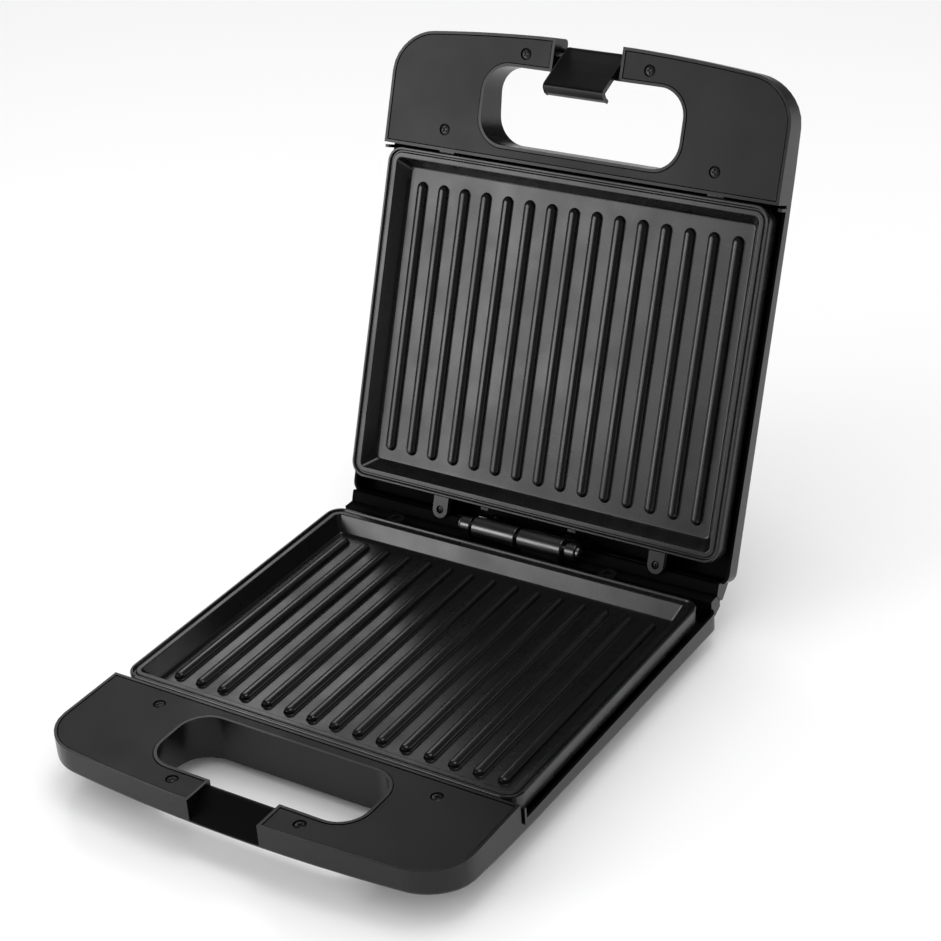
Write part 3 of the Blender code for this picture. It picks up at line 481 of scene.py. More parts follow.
def coating_finish():
    look = bpy.context.scene.panini_finishes
    return finish("mottled non-stick coating", look.coating, look.coating_roughness,
                  spread=0.35, uneven=0.06, coarse=30, fine=1300, bump=0.2, depth=0.04,
                  specular=0.6)


def hinge_finish():
    return finish("satin black enamel", (0.004, 0.004, 0.0042), 0.32, spread=0.15, uneven=0.04,
                  coarse=90, fine=1500, bump=0.05, depth=0.03, specular=1.0, ior=1.8)


def latch_finish():
    return finish("satin latch plastic", (0.003, 0.003, 0.0032), 0.33, spread=0.15, uneven=0.03,
                  coarse=60, fine=1600, bump=0.05, depth=0.03, specular=0.35)


def screw_finish():
    return finish("blackened screw steel", (0.006, 0.006, 0.0063), 0.32, spread=0.3, uneven=0.06,
                  coarse=400, fine=3000, bump=0.08, depth=0.03, metallic=0.2)


def rubber_finish():
    return finish("black foot rubber", (0.015, 0.015, 0.015), 0.75, spread=0.3, uneven=0.05,
                  coarse=200, fine=2500, bump=0.4, depth=0.05)


# ------------------------------------------------------------------ form of a half

def bow(x, v):
    """How far the bowed front edge draws a point back."""
    share = (v - BOW_START) / (SHELL.front - BOW_START)
    return x * x / (2 * BOW_RADIUS) * min(max(share, 0), 1)


def half_width(v, outline):
    """Half the width of an outline at one station."""
    for gap, radius in ((v - outline.front + outline.front_radius, outline.front_radius),
                        (outline.rear + outline.rear_radius - v, outline.rear_radius)):
        if gap > 0:
            return outline.half - radius + math.sqrt(max(radius ** 2 - gap ** 2, 0))
    return outline.half


def edge_distance(x, v, outline):
    """How far a point is inside an outline."""
    across = outline.half - abs(x)
    along, radius = min((outline.front - v, outline.front_radius),
                        (v - outline.rear, outline.rear_radius))
    if across < radius and along < radius:
        return max(radius - math.hypot(radius - across, radius - along), 0)
    return max(min(across, along), 0)


def underside(x, v):
    """The level of a half's crowned outer face."""
    distance = edge_distance(x, v, SHELL)
    edge = np.interp(v, EDGE_STATIONS, EDGE_DEPTHS)
    crown = np.interp(v, CROWN_STATIONS, CROWN_DEPTHS)
    rise = math.sin(math.pi / 2 * min(distance / CROWN_RUN, 1))
    corner = max(EDGE_ROUND - distance, 0)
    return edge + (crown - edge) * rise - EDGE_ROUND + math.sqrt(EDGE_ROUND ** 2 - corner ** 2)


def block(bm, inset, top, lift=0.0):
    """Add a half's solid form, moved in by inset, from a level to its underside less lift."""
    outline = Outline(SHELL.half - inset, SHELL.front - inset, SHELL.rear + inset,
                      SHELL.front_radius - inset, SHELL.rear_radius - inset)
    edges = np.array([0, .12, .4, .9, 1.6, 2.5, 4.5, 8, 12, 17, 22, 28, 35]) * MM
    front = outline.front - np.array([0, .12, .4, .9, 1.6, 2.5, 4, 6, 9, 13, 18, 24]) * MM
    rear = outline.rear + np.array([12, 9, 6.5, 4.5, 2.5, 1.6, .9, .4, .12, 0]) * MM
    middle = np.concatenate([np.arange(240, 190, -6), np.arange(182, 20, -18)]) * MM
    inner = np.linspace(-1, 1, 9)[1:-1]
    stations = np.concatenate([front, middle, rear])
    columns = 2 * len(edges) + len(inner)
    bmesh.ops.create_grid(bm, x_segments=columns - 1, y_segments=len(stations) - 1, size=1)
    for vert in list(bm.verts):
        v = stations[round((vert.co.y + 1) / 2 * (len(stations) - 1))]
        half = half_width(v, outline)
        across = np.concatenate([edges - half, inner * (half - edges[-1]), (half - edges)[::-1]])
        x = across[round((vert.co.x + 1) / 2 * (columns - 1))]
        vert.co = at(x, v - bow(x, v), underside(x, v) - lift)
    wall = bmesh.ops.extrude_face_region(bm, geom=list(bm.faces))
    for vert in (item for item in wall["geom"] if isinstance(item, bmesh.types.BMVert)):
        vert.co.z = -top


def opening_outline(grow):
    """The finger opening's outline, grown outward."""
    rear, front = OPENING_SPAN
    radius = OPENING_RADIUS + grow
    return rounded_rectangle(OPENING_HALF + grow, rear - grow, front + grow, radius, radius, 14)


def heel_outline():
    """The rear heel's (v, w) outline; its sloped face meets the other half's when open."""
    lean = math.pi / 2 - LID_OPEN / 2
    slope = math.tan(lean)
    shift = STOP_GAP / math.cos(lean)
    foot = 13 * MM
    return [(0.2 * MM, HEEL_TOP), (shift - HEEL_TOP * slope, HEEL_TOP),
            (shift - foot * slope, foot), (shift - foot * slope, 16.5 * MM),
            (-0.4 * MM, 20.5 * MM), (0.2 * MM, 20.5 * MM)]


def saddle_outline(side):
    """What the latch notch takes out of a half, as (v, w) points."""
    rear = OPENING_SPAN[1]
    behind, ahead, above = rear - 4 * MM, SHELL.front + 9 * MM, -REACH / 4
    strip = [(behind, above), (behind, STRIP_LEVEL + STRIP_CHAMFER),
             (rear, STRIP_LEVEL + STRIP_CHAMFER), (rear + STRIP_CHAMFER, STRIP_LEVEL)]
    if side == "upper":
        pocket = LATCH_V - LATCH_KNUCKLE - 0.7 * MM
        slope = [(256.1 * MM, STRIP_LEVEL), (pocket, 11.2 * MM), (pocket, REACH), (ahead, REACH)]
    else:
        slope = [(257.5 * MM, STRIP_LEVEL), (ahead, 21.1 * MM)]
    return strip + slope + [(ahead, above)]


def screw_places():
    """Every handle screw's (x, v)."""
    return [(side * x, v) for x, v in COVER_SCREWS for side in (-1, 1)]


# ------------------------------------------------------------------ housings

def housing_shape(side):
    """The moulded housing of one half."""
    form = bmesh.new()
    block(form, 0, HANDLE_TOP)
    soften(form, bpy.context.scene.panini_sizes.rim_round, 3, 60, on_level(HANDLE_TOP))

    room = bmesh.new()
    block(room, WALL, -REACH / 3, FLOOR)
    walls = bmesh.new()
    box(walls, (-REACH * 3, REACH * 3), PARTITION, (-REACH, REACH))
    for x, v in screw_places():
        column(walls, BOSS_RADIUS, x, v, (COVER_BOTTOM + CLEAR, REACH), 24)
    room = cut(room, walls)
    collar = bmesh.new()
    plan_solid(collar, opening_outline(WALL), (-REACH, REACH))
    room = cut(room, collar)
    sides = bmesh.new()
    box(sides, (-NOTCH_HALF - WALL, NOTCH_HALF + WALL),
        (OPENING_SPAN[1] - WALL, SHELL.front + WALL), (-REACH, REACH))
    room = cut(room, sides)
    form = cut(form, room)

    well = bmesh.new()
    box(well, (-REACH * 3, REACH * 3), (-REACH, PARTITION[0]), (-REACH, WELL_TOP))
    form = cut(form, well)

    added = bmesh.new()
    side_solid(added, heel_outline(), (-HEEL_HALF, HEEL_HALF))
    soften(added, 0.4 * MM)
    form = joined(form, added)
    if side == "lower":
        bay = bmesh.new()
        box(bay, (GLAND_X - BAY_HALF, GLAND_X + BAY_HALF), (-REACH, SHELL.rear),
            (BAY_TOP, REACH))
        form = cut(form, bay)
    added = bmesh.new()
    for x in EARS:
        column(added, BOSS_RADIUS, x, EAR_CENTRE, (EAR_LEVELS[1] + CLEAR, 24 * MM), 24)
    for end in (-1, 1):
        box(added, sorted(end * x for x in TAB_X), TAB_V, TAB_W)
    form = joined(form, added)

    opening = bmesh.new()
    plan_solid(opening, opening_outline(0), (-REACH, REACH))
    form = cut(form, opening)
    notch = bmesh.new()
    side_solid(notch, saddle_outline(side), (-NOTCH_HALF, NOTCH_HALF))
    form = cut(form, notch)

    holes = bmesh.new()
    for x, v in screw_places():
        column(holes, PILOT, x, v, (0, 15 * MM), 16)
    for x in EARS:
        column(holes, PILOT, x, EAR_CENTRE, (0, 17.5 * MM), 16)
    for x in HINGE_SCREWS:
        rod(holes, PILOT, at(x, 6 * MM, HINGE_SCREW_LEVEL), at(x, -5 * MM, HINGE_SCREW_LEVEL), 16)
    slot = TONGUE_HALF + 0.5 * MM
    for end in (-1, 1):
        box(holes, (end * TONGUE_X - slot, end * TONGUE_X + slot),
            (PARTITION[0] - 1 * MM, PARTITION[1] + 1 * MM), (8.2 * MM, 11.2 * MM))
    if side == "upper":
        rod(holes, PILOT, at(-24 * MM, LATCH_V, LATCH_W), at(24 * MM, LATCH_V, LATCH_W), 20)
        for x in LENSES.values():
            column(holes, LENS_RADIUS + CLEAR, x, LENS_V, (26 * MM, 34 * MM))
    else:
        for x, v in FEET:
            column(holes, FOOT_RADIUS + CLEAR, x, v, (FOOT_SEAT - CLEAR, 34 * MM))
        rod(holes, GLAND_RADIUS + CLEAR, at(GLAND_X, 6 * MM, GLAND_LEVEL),
            at(GLAND_X, -REACH / 3, GLAND_LEVEL))
        box(holes, (-LATCH_HALF - 1 * MM, LATCH_HALF + 1 * MM), *HOOK_GROOVE)
    form = cut(form, holes)
    size = bpy.context.scene.panini_sizes.edge_round
    return soften(form, size, 2, 50)


def in_painted_shade(point):
    """Whether a point gets painted shade: on the walls of the room under a grill plate, or on the
    heel's front.
    """
    x, v, w = point.x, -point.y, -point.z
    slack = 0.05 * MM
    if w < WELL_TOP - slack and v < 0.2 * MM + slack:
        return True
    room = Outline(SHELL.half - WALL, SHELL.front - WALL, SHELL.rear + WALL,
                   SHELL.front_radius - WALL, SHELL.rear_radius - WALL)
    return (room.rear - slack < v < PARTITION[0] + slack and w < underside(x, v) - FLOOR + slack
            and abs(x) < half_width(v, room) + slack)


def housing(side):
    """One half's housing, satin outside, with painted shade inside and on the heel's front."""
    form = housing_shape(side)
    for face in form.faces:
        # Faces where shade falls take material 1, the painted shade copy of the plastic.
        face.material_index = int(in_painted_shade(face.calc_center_median()))
    piece(side + "_housing", form, half_place(side), (housing_finish(), painted_shade_wall_finish()),
          body_of(side), [side + "_shell"])


def handle_cover(side):
    """The flat plate let into a handle, around the finger opening and the notch."""
    inset = WALL + SEAM
    plate = bmesh.new()
    box(plate, (-SHELL.half, SHELL.half), (PARTITION[1] + SEAM, SHELL.front + WALL),
        (COVER_TOP, COVER_BOTTOM))
    inside = bmesh.new()
    block(inside, inset, -REACH / 3)
    plate = joined(plate, inside, "INTERSECT")
    gap = bmesh.new()
    plan_solid(gap, opening_outline(inset), (-REACH, REACH))
    plate = cut(plate, gap)
    notch = bmesh.new()
    box(notch, (-NOTCH_HALF - inset, NOTCH_HALF + inset),
        (OPENING_SPAN[1] - 1 * MM, SHELL.front + 5 * MM), (-REACH, REACH))
    plate = cut(plate, notch)
    seats = bmesh.new()
    for x, v in screw_places():
        turned(seats, [(3.2 * MM, 0), (3.2 * MM, -COVER_TOP - 1.3 * MM),
                       (PILOT, -COVER_TOP - 1.3 * MM), (PILOT, -8 * MM)],
               Matrix.Translation(at(x, v, 0)), 40)
    plate = cut(plate, seats)
    soften(plate, bpy.context.scene.panini_sizes.cover_round, 2, 50)
    piece(side + "_cover_plate", plate, half_place(side), cover_finish(), body_of(side),
          [side + "_handle_cover"])


# ------------------------------------------------------------------ grill plates

def plate_profile():
    """The plate's section from the middle of its underside over the rim to its floor, in mm."""
    return softened([(12.4, 15.4, 0), (7.2, 6.6, 0.8), (2.2, 6.2, 0.3), (2.2, 12.5, 0.3),
                     (0, 12.5, 0.3), (0, 3.6, 0.5), (0.5, 2.8, 0.4), (1.6, 2.8, 0.3),
                     (2.2, 4.2, 0.2), (2.9, 4.2, 0.2), (3.4, 3.4, 0.3), (6.0, 3.4, 0.8),
                     (10.8, 12.4, 1.3), (13.8, 12.4, 0)], closed=False)


def rib_profile():
    """A rib's half width at each level, in mm, from just under the floor to its crown."""
    foot = [(3.7, 12.45), (3.35, 12.33), (3.1, 12.1), (2.97, 11.75)]
    crown = [(RIB_HALF / MM * math.cos(t) ** 0.85, 11.4 - 1.75 * math.sin(t))
             for t in np.linspace(0, math.radians(85), 11)]
    return foot + crown


def grill_plate(side):
    """A cast plate: rim lip, groove, flange, sloped wall, floor, ribs, ears and tongues."""
    tray = bmesh.new()
    rings = []
    for inset, level in plate_profile():
        radius = max(PLATE.front_radius - inset * MM, 2.4 * MM)
        outline = rounded_rectangle(PLATE.half - inset * MM, PLATE.rear + inset * MM,
                                    PLATE.front - inset * MM, radius, radius, 8)
        rings.append([at(x, v, level * MM) for x, v in outline])
    loft(tray, rings)

    ribs = bmesh.new()
    for index in range(RIB_COUNT):
        centre = (index - (RIB_COUNT - 1) / 2) * RIB_PITCH
        rear, front = RIB_SPAN[0] + RIB_HALF, RIB_SPAN[1] - RIB_HALF
        rings = []
        for half, level in rib_profile():
            ends = (arc((centre, front), half * MM, 0, 180, 12)
                    + arc((centre, rear), half * MM, 180, 360, 12))
            rings.append([at(x, v, level * MM) for x, v in ends])
        loft(ribs, rings)
    tray = joined(tray, ribs)

    fixings = bmesh.new()
    for x in EARS:
        ear = (arc((x, EAR_CENTRE), EAR_RADIUS, 180, 360, 24)
               + [(x + EAR_RADIUS, 12 * MM), (x - EAR_RADIUS, 12 * MM)])
        plan_solid(fixings, ear, EAR_LEVELS)
    for end in (-1, 1):
        box(fixings, (end * TONGUE_X - TONGUE_HALF, end * TONGUE_X + TONGUE_HALF),
            (200.0 * MM, 206 * MM), (8.6 * MM, 10.8 * MM))
        box(fixings, (end * LUG_X - LUG_HALF, end * LUG_X + LUG_HALF),
            (8.4 * MM, 12 * MM), (6.3 * MM, 7.7 * MM))
    soften(fixings, 0.35 * MM, 2, 50)
    tray = joined(tray, fixings)

    holes = bmesh.new()
    for x in EARS:
        seat = -EAR_LEVELS[0] - EAR_SINK - 1.1 * MM
        turned(holes, [(EAR_SEAT, 0), (EAR_SEAT, seat), (PILOT, seat),
                       (PILOT, -EAR_LEVELS[1] - 2 * MM)],
               Matrix.Translation(at(x, EAR_CENTRE, 0)), 32)
    tray = cut(tray, holes)
    piece(side + "_ribbed_plate", tray, half_place(side), coating_finish(), body_of(side),
          [side + "_grill_plate"])


# ------------------------------------------------------------------ screws

def screw_mesh(head_radius, head, shank):
    """A cross-recessed pan-head screw, head up, with its top at the origin."""
    bm = bmesh.new()
    dome = [(head_radius * math.sin(t), -0.35 * head * (1 - math.cos(t)) / (1 - math.cos(1.45)))
            for t in np.linspace(0.12, 1.45, 7)]
    rim = [(head_radius, -0.5 * head), (head_radius, -0.92 * head), (head_radius * 0.95, -head)]
    threads = []
    for height in np.arange(0.4, shank / MM - 1.2, 0.55):
        threads += [(SHANK - 0.2 * MM, -head - height * MM), (SHANK, -head - (height + 0.28) * MM)]
    end = [(SHANK - 0.2 * MM, -head - shank + 0.8 * MM), (0.3 * MM, -head - shank)]
    turned(bm, dome + rim + [(SHANK - 0.2 * MM, -head)] + threads + end, Matrix(), 32)
    cross = bmesh.new()
    wide, narrow, deep = head_radius * 0.6, head_radius * 0.17, head * 0.75
    for turn in (0, math.pi / 2):
        spin = Matrix.Rotation(turn, 4, "Z")
        loft(cross, [[spin @ Vector((a * s, b * s2, h))
                      for a, b in ((1, 1), (-1, 1), (-1, -1), (1, -1))]
                     for s, s2, h in ((wide, narrow, head), (wide, narrow, -0.1 * head),
                                      (wide * 0.45, narrow * 0.8, -deep))])
        if turn == 0:
            bm = cut(bm, cross)
            cross = bmesh.new()
    bm = cut(bm, cross)
    bmesh.ops.recalc_face_normals(bm, faces=bm.faces)
    mesh = bpy.data.meshes.new("screw")
    bm.to_mesh(mesh)
    bm.free()
    return mesh


def screws(side, kind, mesh, matrices):
    """Like screws, one finished piece for each matrix in a half's frame."""
    for number, matrix in enumerate(matrices, 1):
        twist = Matrix.Rotation(0.7 * number + (1.1 if side == "upper" else 0.2), 4, "Z")
        piece_of_mesh(f"{side}_{kind}_fastener_{number}", mesh.copy(),
                      half_place(side) @ matrix @ twist, screw_finish(), body_of(side),
                      [f"{side}_{kind}_screw_{number}"])


# ------------------------------------------------------------------ hinge and latch

def hinge_leaf(side):
    """A leaf: long knuckle, end ring, arm, web and the foot that is screwed to the wall."""
    leaf = bmesh.new()
    rod(leaf, KNUCKLE_RADIUS, at(KNUCKLE_SPAN[0], 0, 0), at(KNUCKLE_SPAN[1], 0, 0), 64, 0.6 * MM)
    for shape in (
            ((3 * MM, 27 * MM), ARM, (1 * MM, LEAF_FOOT[0] + 1 * MM)),
            ((-RING_SPAN[1], 34 * MM), (ARM[0], 3.4 * MM), LEAF_FOOT),
            ((-RING_SPAN[1] + 0.4 * MM, -RING_SPAN[0] - 0.4 * MM), (ARM[0], 4.0 * MM),
             (1 * MM, LEAF_FOOT[0] + 1 * MM))):
        bar = bmesh.new()
        box(bar, *shape)
        soften(bar, 0.3 * MM)
        leaf = joined(leaf, bar)
    ring = bmesh.new()
    rod(ring, RING_RADIUS, at(-RING_SPAN[1], 0, 0), at(-RING_SPAN[0], 0, 0), 48, 0.5 * MM)
    leaf = joined(leaf, ring)
    bore = bmesh.new()
    rod(bore, PIN_RADIUS + CLEAR, at(-PIN_HALF, 0, 0), at(PIN_HALF, 0, 0), 32)
    leaf = cut(leaf, bore)
    for x in HINGE_SCREWS:
        hole = bmesh.new()
        rod(hole, PILOT, at(x, 6 * MM, HINGE_SCREW_LEVEL), at(x, -2 * MM, HINGE_SCREW_LEVEL), 20)
        leaf = cut(leaf, hole)
    piece(side + "_leaf", leaf, half_place(side), hinge_finish(), body_of(side),
          [side + "_hinge_leaf"])


def hinge_pin():
    """The pin through both leaves, with a domed head and a groove for its clip."""
    across = Matrix.Rotation(math.pi / 2, 4, "Y")
    head, neck = PIN_HALF, RING_SPAN[1] + CLEAR
    groove = PIN_RADIUS - 0.5 * MM
    dome = [(3.2 * MM * math.sin(t), head + 0.4 * MM - 0.8 * MM * (1 - math.cos(t)))
            for t in np.linspace(0.15, math.pi / 2, 7)]
    pin = bmesh.new()
    turned(pin, dome + [(3.2 * MM, neck), (PIN_RADIUS, neck), (PIN_RADIUS, -neck - 0.2 * MM),
                        (groove, -neck - 0.2 * MM), (groove, -neck - 1.4 * MM),
                        (PIN_RADIUS, -neck - 1.4 * MM), (PIN_RADIUS, -head),
                        (PIN_RADIUS - 0.4 * MM, -head - 0.4 * MM)], across, 32)
    steel = finish("bright pin steel", (0.5, 0.5, 0.51), 0.3, spread=0.08, uneven=0.06,
                   coarse=300, fine=2500, bump=0.05, metallic=1.0)
    piece("pin_of_hinge", pin, half_place("lower"), steel, "base", ["hinge_pin"])


def latch_outline():
    """The clip's section as (outward, along) points, in mm: face, bend, hook and inside."""
    length = LATCH_LENGTH / MM
    return softened([
        (2.2, 0, 0), (2.45, 8, 20), (2.5, 16, 20), (2.2, length, 3.0), (-2.6, length, 1.6),
        (-6.2, length - 1.8, 0.6), (-6.2, length - 3.6, 0.5), (-3.0, length - 2.2, 0.4),
        (0.2, length - 2.2, 1.0), (0.2, 0, 0)], steps=6)


def latch():
    """The clip: knuckle, gently bulged face and hook."""
    clip = bmesh.new()
    loft(clip, [[Vector((x, -out * MM, along * MM)) for out, along in latch_outline()]
                for x in (-LATCH_HALF, LATCH_HALF)])
    soften(clip, 0.4 * MM, 2, 60)
    knuckle = bmesh.new()
    rod(knuckle, LATCH_KNUCKLE, Vector((-LATCH_HALF, 0, 0)), Vector((LATCH_HALF, 0, 0)), 40,
        0.3 * MM)
    clip = joined(clip, knuckle)
    bore = bmesh.new()
    rod(bore, PILOT, Vector((-REACH, 0, 0)), Vector((REACH, 0, 0)), 24)
    clip = cut(clip, bore)
    piece("latch_clip", clip, latch_place(), latch_finish(), "latch", ["latch"])
    pin = bmesh.new()
    half = NOTCH_HALF + WALL - 0.2 * MM
    rod(pin, SHANK, at(-half, LATCH_V, LATCH_W), at(half, LATCH_V, LATCH_W), 24, 0.3 * MM)
    steel = finish("dark wire pin", (0.2, 0.2, 0.2), 0.35, metallic=1.0, coarse=300, fine=2500)
    piece("pin_of_latch", pin, half_place("upper"), steel, "lid", ["latch_pin"])


# ------------------------------------------------------------------ feet, gland and lenses

def feet():
    """The rubber feet, each with a shallow ring in its sole."""
    for number, (x, v) in enumerate(FEET, 1):
        foot = bmesh.new()
        r, low = FOOT_RADIUS, -FOOT_LEVEL
        turned(foot, [(r, -FOOT_SEAT), (r, low + 1.4 * MM), (r - 0.12 * MM, low + 0.9 * MM),
                      (r - 0.5 * MM, low + 0.35 * MM), (r - 1.3 * MM, low),
                      (r - 2.6 * MM, low), (r - 2.9 * MM, low + 0.5 * MM),
                      (r - 3.6 * MM, low + 0.5 * MM), (r - 3.9 * MM, low)],
               Matrix.Translation(at(x, v, 0)), 48)
        piece(f"base_foot_{number}", foot, half_place("lower"), rubber_finish(), "base",
              [f"rubber_foot_{number}"])


def gland():
    """The flanged bush in the base's rear wall."""
    back = Matrix.Translation(at(GLAND_X, 0, GLAND_LEVEL)) @ Matrix.Rotation(-math.pi / 2, 4, "X")
    flange = -SHELL.rear + CLEAR
    bush = bmesh.new()
    turned(bush, [(3.6 * MM, flange + 3.4 * MM), (4.2 * MM, flange + 3.2 * MM),
                  (4.7 * MM, flange + 2.4 * MM), (6.3 * MM, flange + 0.9 * MM),
                  (6.6 * MM, flange + 0.5 * MM), (6.6 * MM, flange), (GLAND_RADIUS, flange),
                  (GLAND_RADIUS, -4.2 * MM)], back, 48)
    bore = bmesh.new()
    rod(bore, 2.7 * MM, at(GLAND_X, REACH / 2, GLAND_LEVEL), at(GLAND_X, -REACH / 2, GLAND_LEVEL))
    bush = cut(bush, bore)
    piece("gland_bush", bush, half_place("lower"), rubber_finish(), "base", ["cord_gland"])


def lenses():
    """The two domed lenses in the lid's outer face."""
    looks = bpy.context.scene.panini_finishes
    for name, x in LENSES.items():
        lens = bmesh.new()
        dome = [(LENS_RADIUS * math.sin(t), -29.8 * MM - 1.1 * MM * math.cos(t))
                for t in np.linspace(math.pi / 2, 0.1, 8)]
        turned(lens, [(5.4 * MM, -25.8 * MM), (5.4 * MM, -26.9 * MM), (LENS_RADIUS, -26.9 * MM)]
               + dome, Matrix.Translation(at(x, LENS_V, 0)), 40)
        power = name == "power_lens"
        colour = looks.power_lens if power else looks.ready_lens
        look = finish("red lens" if power else "green lens", colour, 0.12, spread=0.06,
                      uneven=0.02, coarse=80, fine=600, bump=0.02, coat=0.5)
        piece(name + "_dome", lens, half_place("upper"), look, "lid", [name])


def inside_finishes():
    """Name, colour, roughness and metallic of each finish inside, with the nodes that take it."""
    both = ("lower_", "upper_")
    return (
        ("dull element sheath", (0.17, 0.165, 0.155), 0.45, 0.9,
         [s + "heating_element" for s in both]),
        ("aluminised tray steel", (0.55, 0.55, 0.56), 0.38, 1.0,
         [s + "heat_reflector" for s in both]),
        ("blued spring steel", (0.3, 0.31, 0.34), 0.35, 1.0,
         [f"{s}element_clamp_{n}" for s in both for n in (1, 2)] + ["hinge_pin_clip"]),
        ("zinc screw steel", (0.5, 0.5, 0.48), 0.35, 1.0,
         [f"{s}clamp_screw_{n}" for s in both for n in (1, 2)]),
        ("steatite ceramic", (0.74, 0.71, 0.65), 0.5, 0.0, ["thermostat", "terminal_block"]),
        ("woven fuse sleeve", (0.76, 0.74, 0.66), 0.8, 0.0, ["thermal_fuse"]),
        ("red silicone", (0.45, 0.05, 0.04), 0.5, 0.0,
         [f"{s}lead_{n}" for s in both for n in (1, 2)]),
        ("clear lamp glass", (0.85, 0.8, 0.75), 0.06, 0.0, ["power_lamp", "ready_lamp"]))


# ------------------------------------------------------------------ stage

def area_light(name, place, target, size, power):
    """A soft rectangular light aimed at a point."""
    data = bpy.data.lights.new(name, "AREA")
    data.shape = "RECTANGLE"
    data.size, data.size_y = size
    data.energy = power
    lamp = bpy.data.objects.new(name, data)
    lamp.location = place
    lamp.rotation_euler = (Vector(target) - Vector(place)).to_track_quat("-Z", "Y").to_euler()
    bpy.context.scene.collection.objects.link(lamp)


def camera():
    """The camera, from in front and to the right, with a slight roll."""
    across, up, roll = math.radians(33.98), math.radians(28.85), math.radians(4.20)
    back = Vector((math.sin(across) * math.cos(up), -math.cos(across) * math.cos(up),
                   math.sin(up)))
    right = (-back).cross(Vector((0, 0, 1))).normalized()
    down = (-back).cross(right).normalized()
    rolled_right = right * math.cos(roll) + down * math.sin(roll)
    rolled_up = right * math.sin(roll) - down * math.cos(roll)
    data = bpy.data.cameras.new("camera")
    data.lens = 84.93
    data.sensor_width = 36
    data.clip_start, data.clip_end = 0.05, 50
    made = bpy.data.objects.new("camera", data)
    turn = Matrix((rolled_right, rolled_up, back)).transposed().to_4x4()
    from_hinge = Vector((0.5696, -0.8886, 0.6259))
    made.matrix_world = Matrix.Translation(Vector(HINGE["pos_m"]) + from_hinge) @ turn
    bpy.context.scene.collection.objects.link(made)
    bpy.context.scene.camera = made


def floor():
    """A wide pale floor with a faint gloss."""
    bm = bmesh.new()
    bmesh.ops.create_circle(bm, cap_ends=True, radius=9, segments=96)
    mesh = bpy.data.meshes.new("floor")
    bm.to_mesh(mesh)
    bm.free()
    made = bpy.data.objects.new("floor", mesh)
    bpy.context.scene.collection.objects.link(made)
    look = bpy.data.materials.new("pale floor")
    look.use_nodes = True
    shader = look.node_tree.nodes["Principled BSDF"]
    shader.inputs["Base Color"].default_value = (0.9, 0.9, 0.9, 1)
    shader.inputs["Roughness"].default_value = 0.32
    mesh.materials.append(look)


def world():
    """White surroundings, dimmer to everything but the eye."""
    made = bpy.data.worlds.new("studio")
    bpy.context.scene.world = made
    made.use_nodes = True
    tree = made.node_tree
    shine = tree.nodes["Background"]
    shine.inputs["Color"].default_value = (1, 1, 1, 1)
    path = tree.nodes.new("ShaderNodeLightPath")
    strength = node(tree, "ShaderNodeMapRange", To_Min=1.0, To_Max=0.04)
    tree.links.new(path.outputs["Is Glossy Ray"], strength.inputs["Value"])
    tree.links.new(strength.outputs["Result"], shine.inputs["Strength"])


# ------------------------------------------------------------------ add-on

class PaniniSizes(bpy.types.PropertyGroup):
    """Sizes of the edges that catch the light."""
    rim_round: FloatProperty(
        name="Rim Rounding", description="Rounding of a handle's outer top edge",
        default=0.8 * MM, min=0.1 * MM, max=1.2 * MM, unit="LENGTH")
    edge_round: FloatProperty(
        name="Edge Rounding", description="Rounding of the housing's other edges",
        default=0.3 * MM, min=0.05 * MM, max=0.6 * MM, unit="LENGTH")
    cover_round: FloatProperty(
        name="Cover Rounding", description="Rounding of the handle cover's edges",
        default=0.2 * MM, min=0.05 * MM, max=0.5 * MM, unit="LENGTH")


class PaniniFinishes(bpy.types.PropertyGroup):
    """Colours and gloss of the finishes that show."""
    housing: FloatVectorProperty(
        name="Housing", description="Colour of the moulded housings", subtype="COLOR",
        default=(0.0025, 0.0025, 0.0026), min=0, max=1)
    housing_roughness: FloatProperty(
        name="Housing Roughness", description="How matt the housings are", default=0.28,
        min=0.05, max=1, subtype="FACTOR")
    cover: FloatVectorProperty(
        name="Cover", description="Colour of the handle covers", subtype="COLOR",
        default=(0.003, 0.003, 0.0032), min=0, max=1)
    cover_roughness: FloatProperty(
        name="Cover Roughness", description="How matt the handle covers are", default=0.42,
        min=0.05, max=1, subtype="FACTOR")
    coating: FloatVectorProperty(
        name="Coating", description="Colour of the plates' non-stick coating", subtype="COLOR",
        default=(0.0055, 0.0056, 0.0059), min=0, max=1)
    coating_roughness: FloatProperty(
        name="Coating Roughness", description="How matt the non-stick coating is", default=0.27,
        min=0.05, max=1, subtype="FACTOR")
    power_lens: FloatVectorProperty(
        name="Power Lens", description="Colour of the power lens", subtype="COLOR",
        default=(0.5, 0.02, 0.015), min=0, max=1)
    ready_lens: FloatVectorProperty(
        name="Ready Lens", description="Colour of the ready lens", subtype="COLOR",
        default=(0.02, 0.35, 0.06), min=0, max=1)


class PANINI_OT_housings(bpy.types.Operator):
    """Build the two moulded housings"""
    bl_idname = "panini.housings"
    bl_label = "Housings"

    def execute(self, context):
        for side in ("lower", "upper"):
            housing(side)
        return {"FINISHED"}


class PANINI_OT_handle_covers(bpy.types.Operator):
    """Build the flat covers of the two handles"""
    bl_idname = "panini.handle_covers"
    bl_label = "Handle Covers"

    def execute(self, context):
        for side in ("lower", "upper"):
            handle_cover(side)
        return {"FINISHED"}


class PANINI_OT_grill_plates(bpy.types.Operator):
    """Build the two ribbed grill plates"""
    bl_idname = "panini.grill_plates"
    bl_label = "Grill Plates"

    def execute(self, context):
        for side in ("lower", "upper"):
            grill_plate(side)
        return {"FINISHED"}


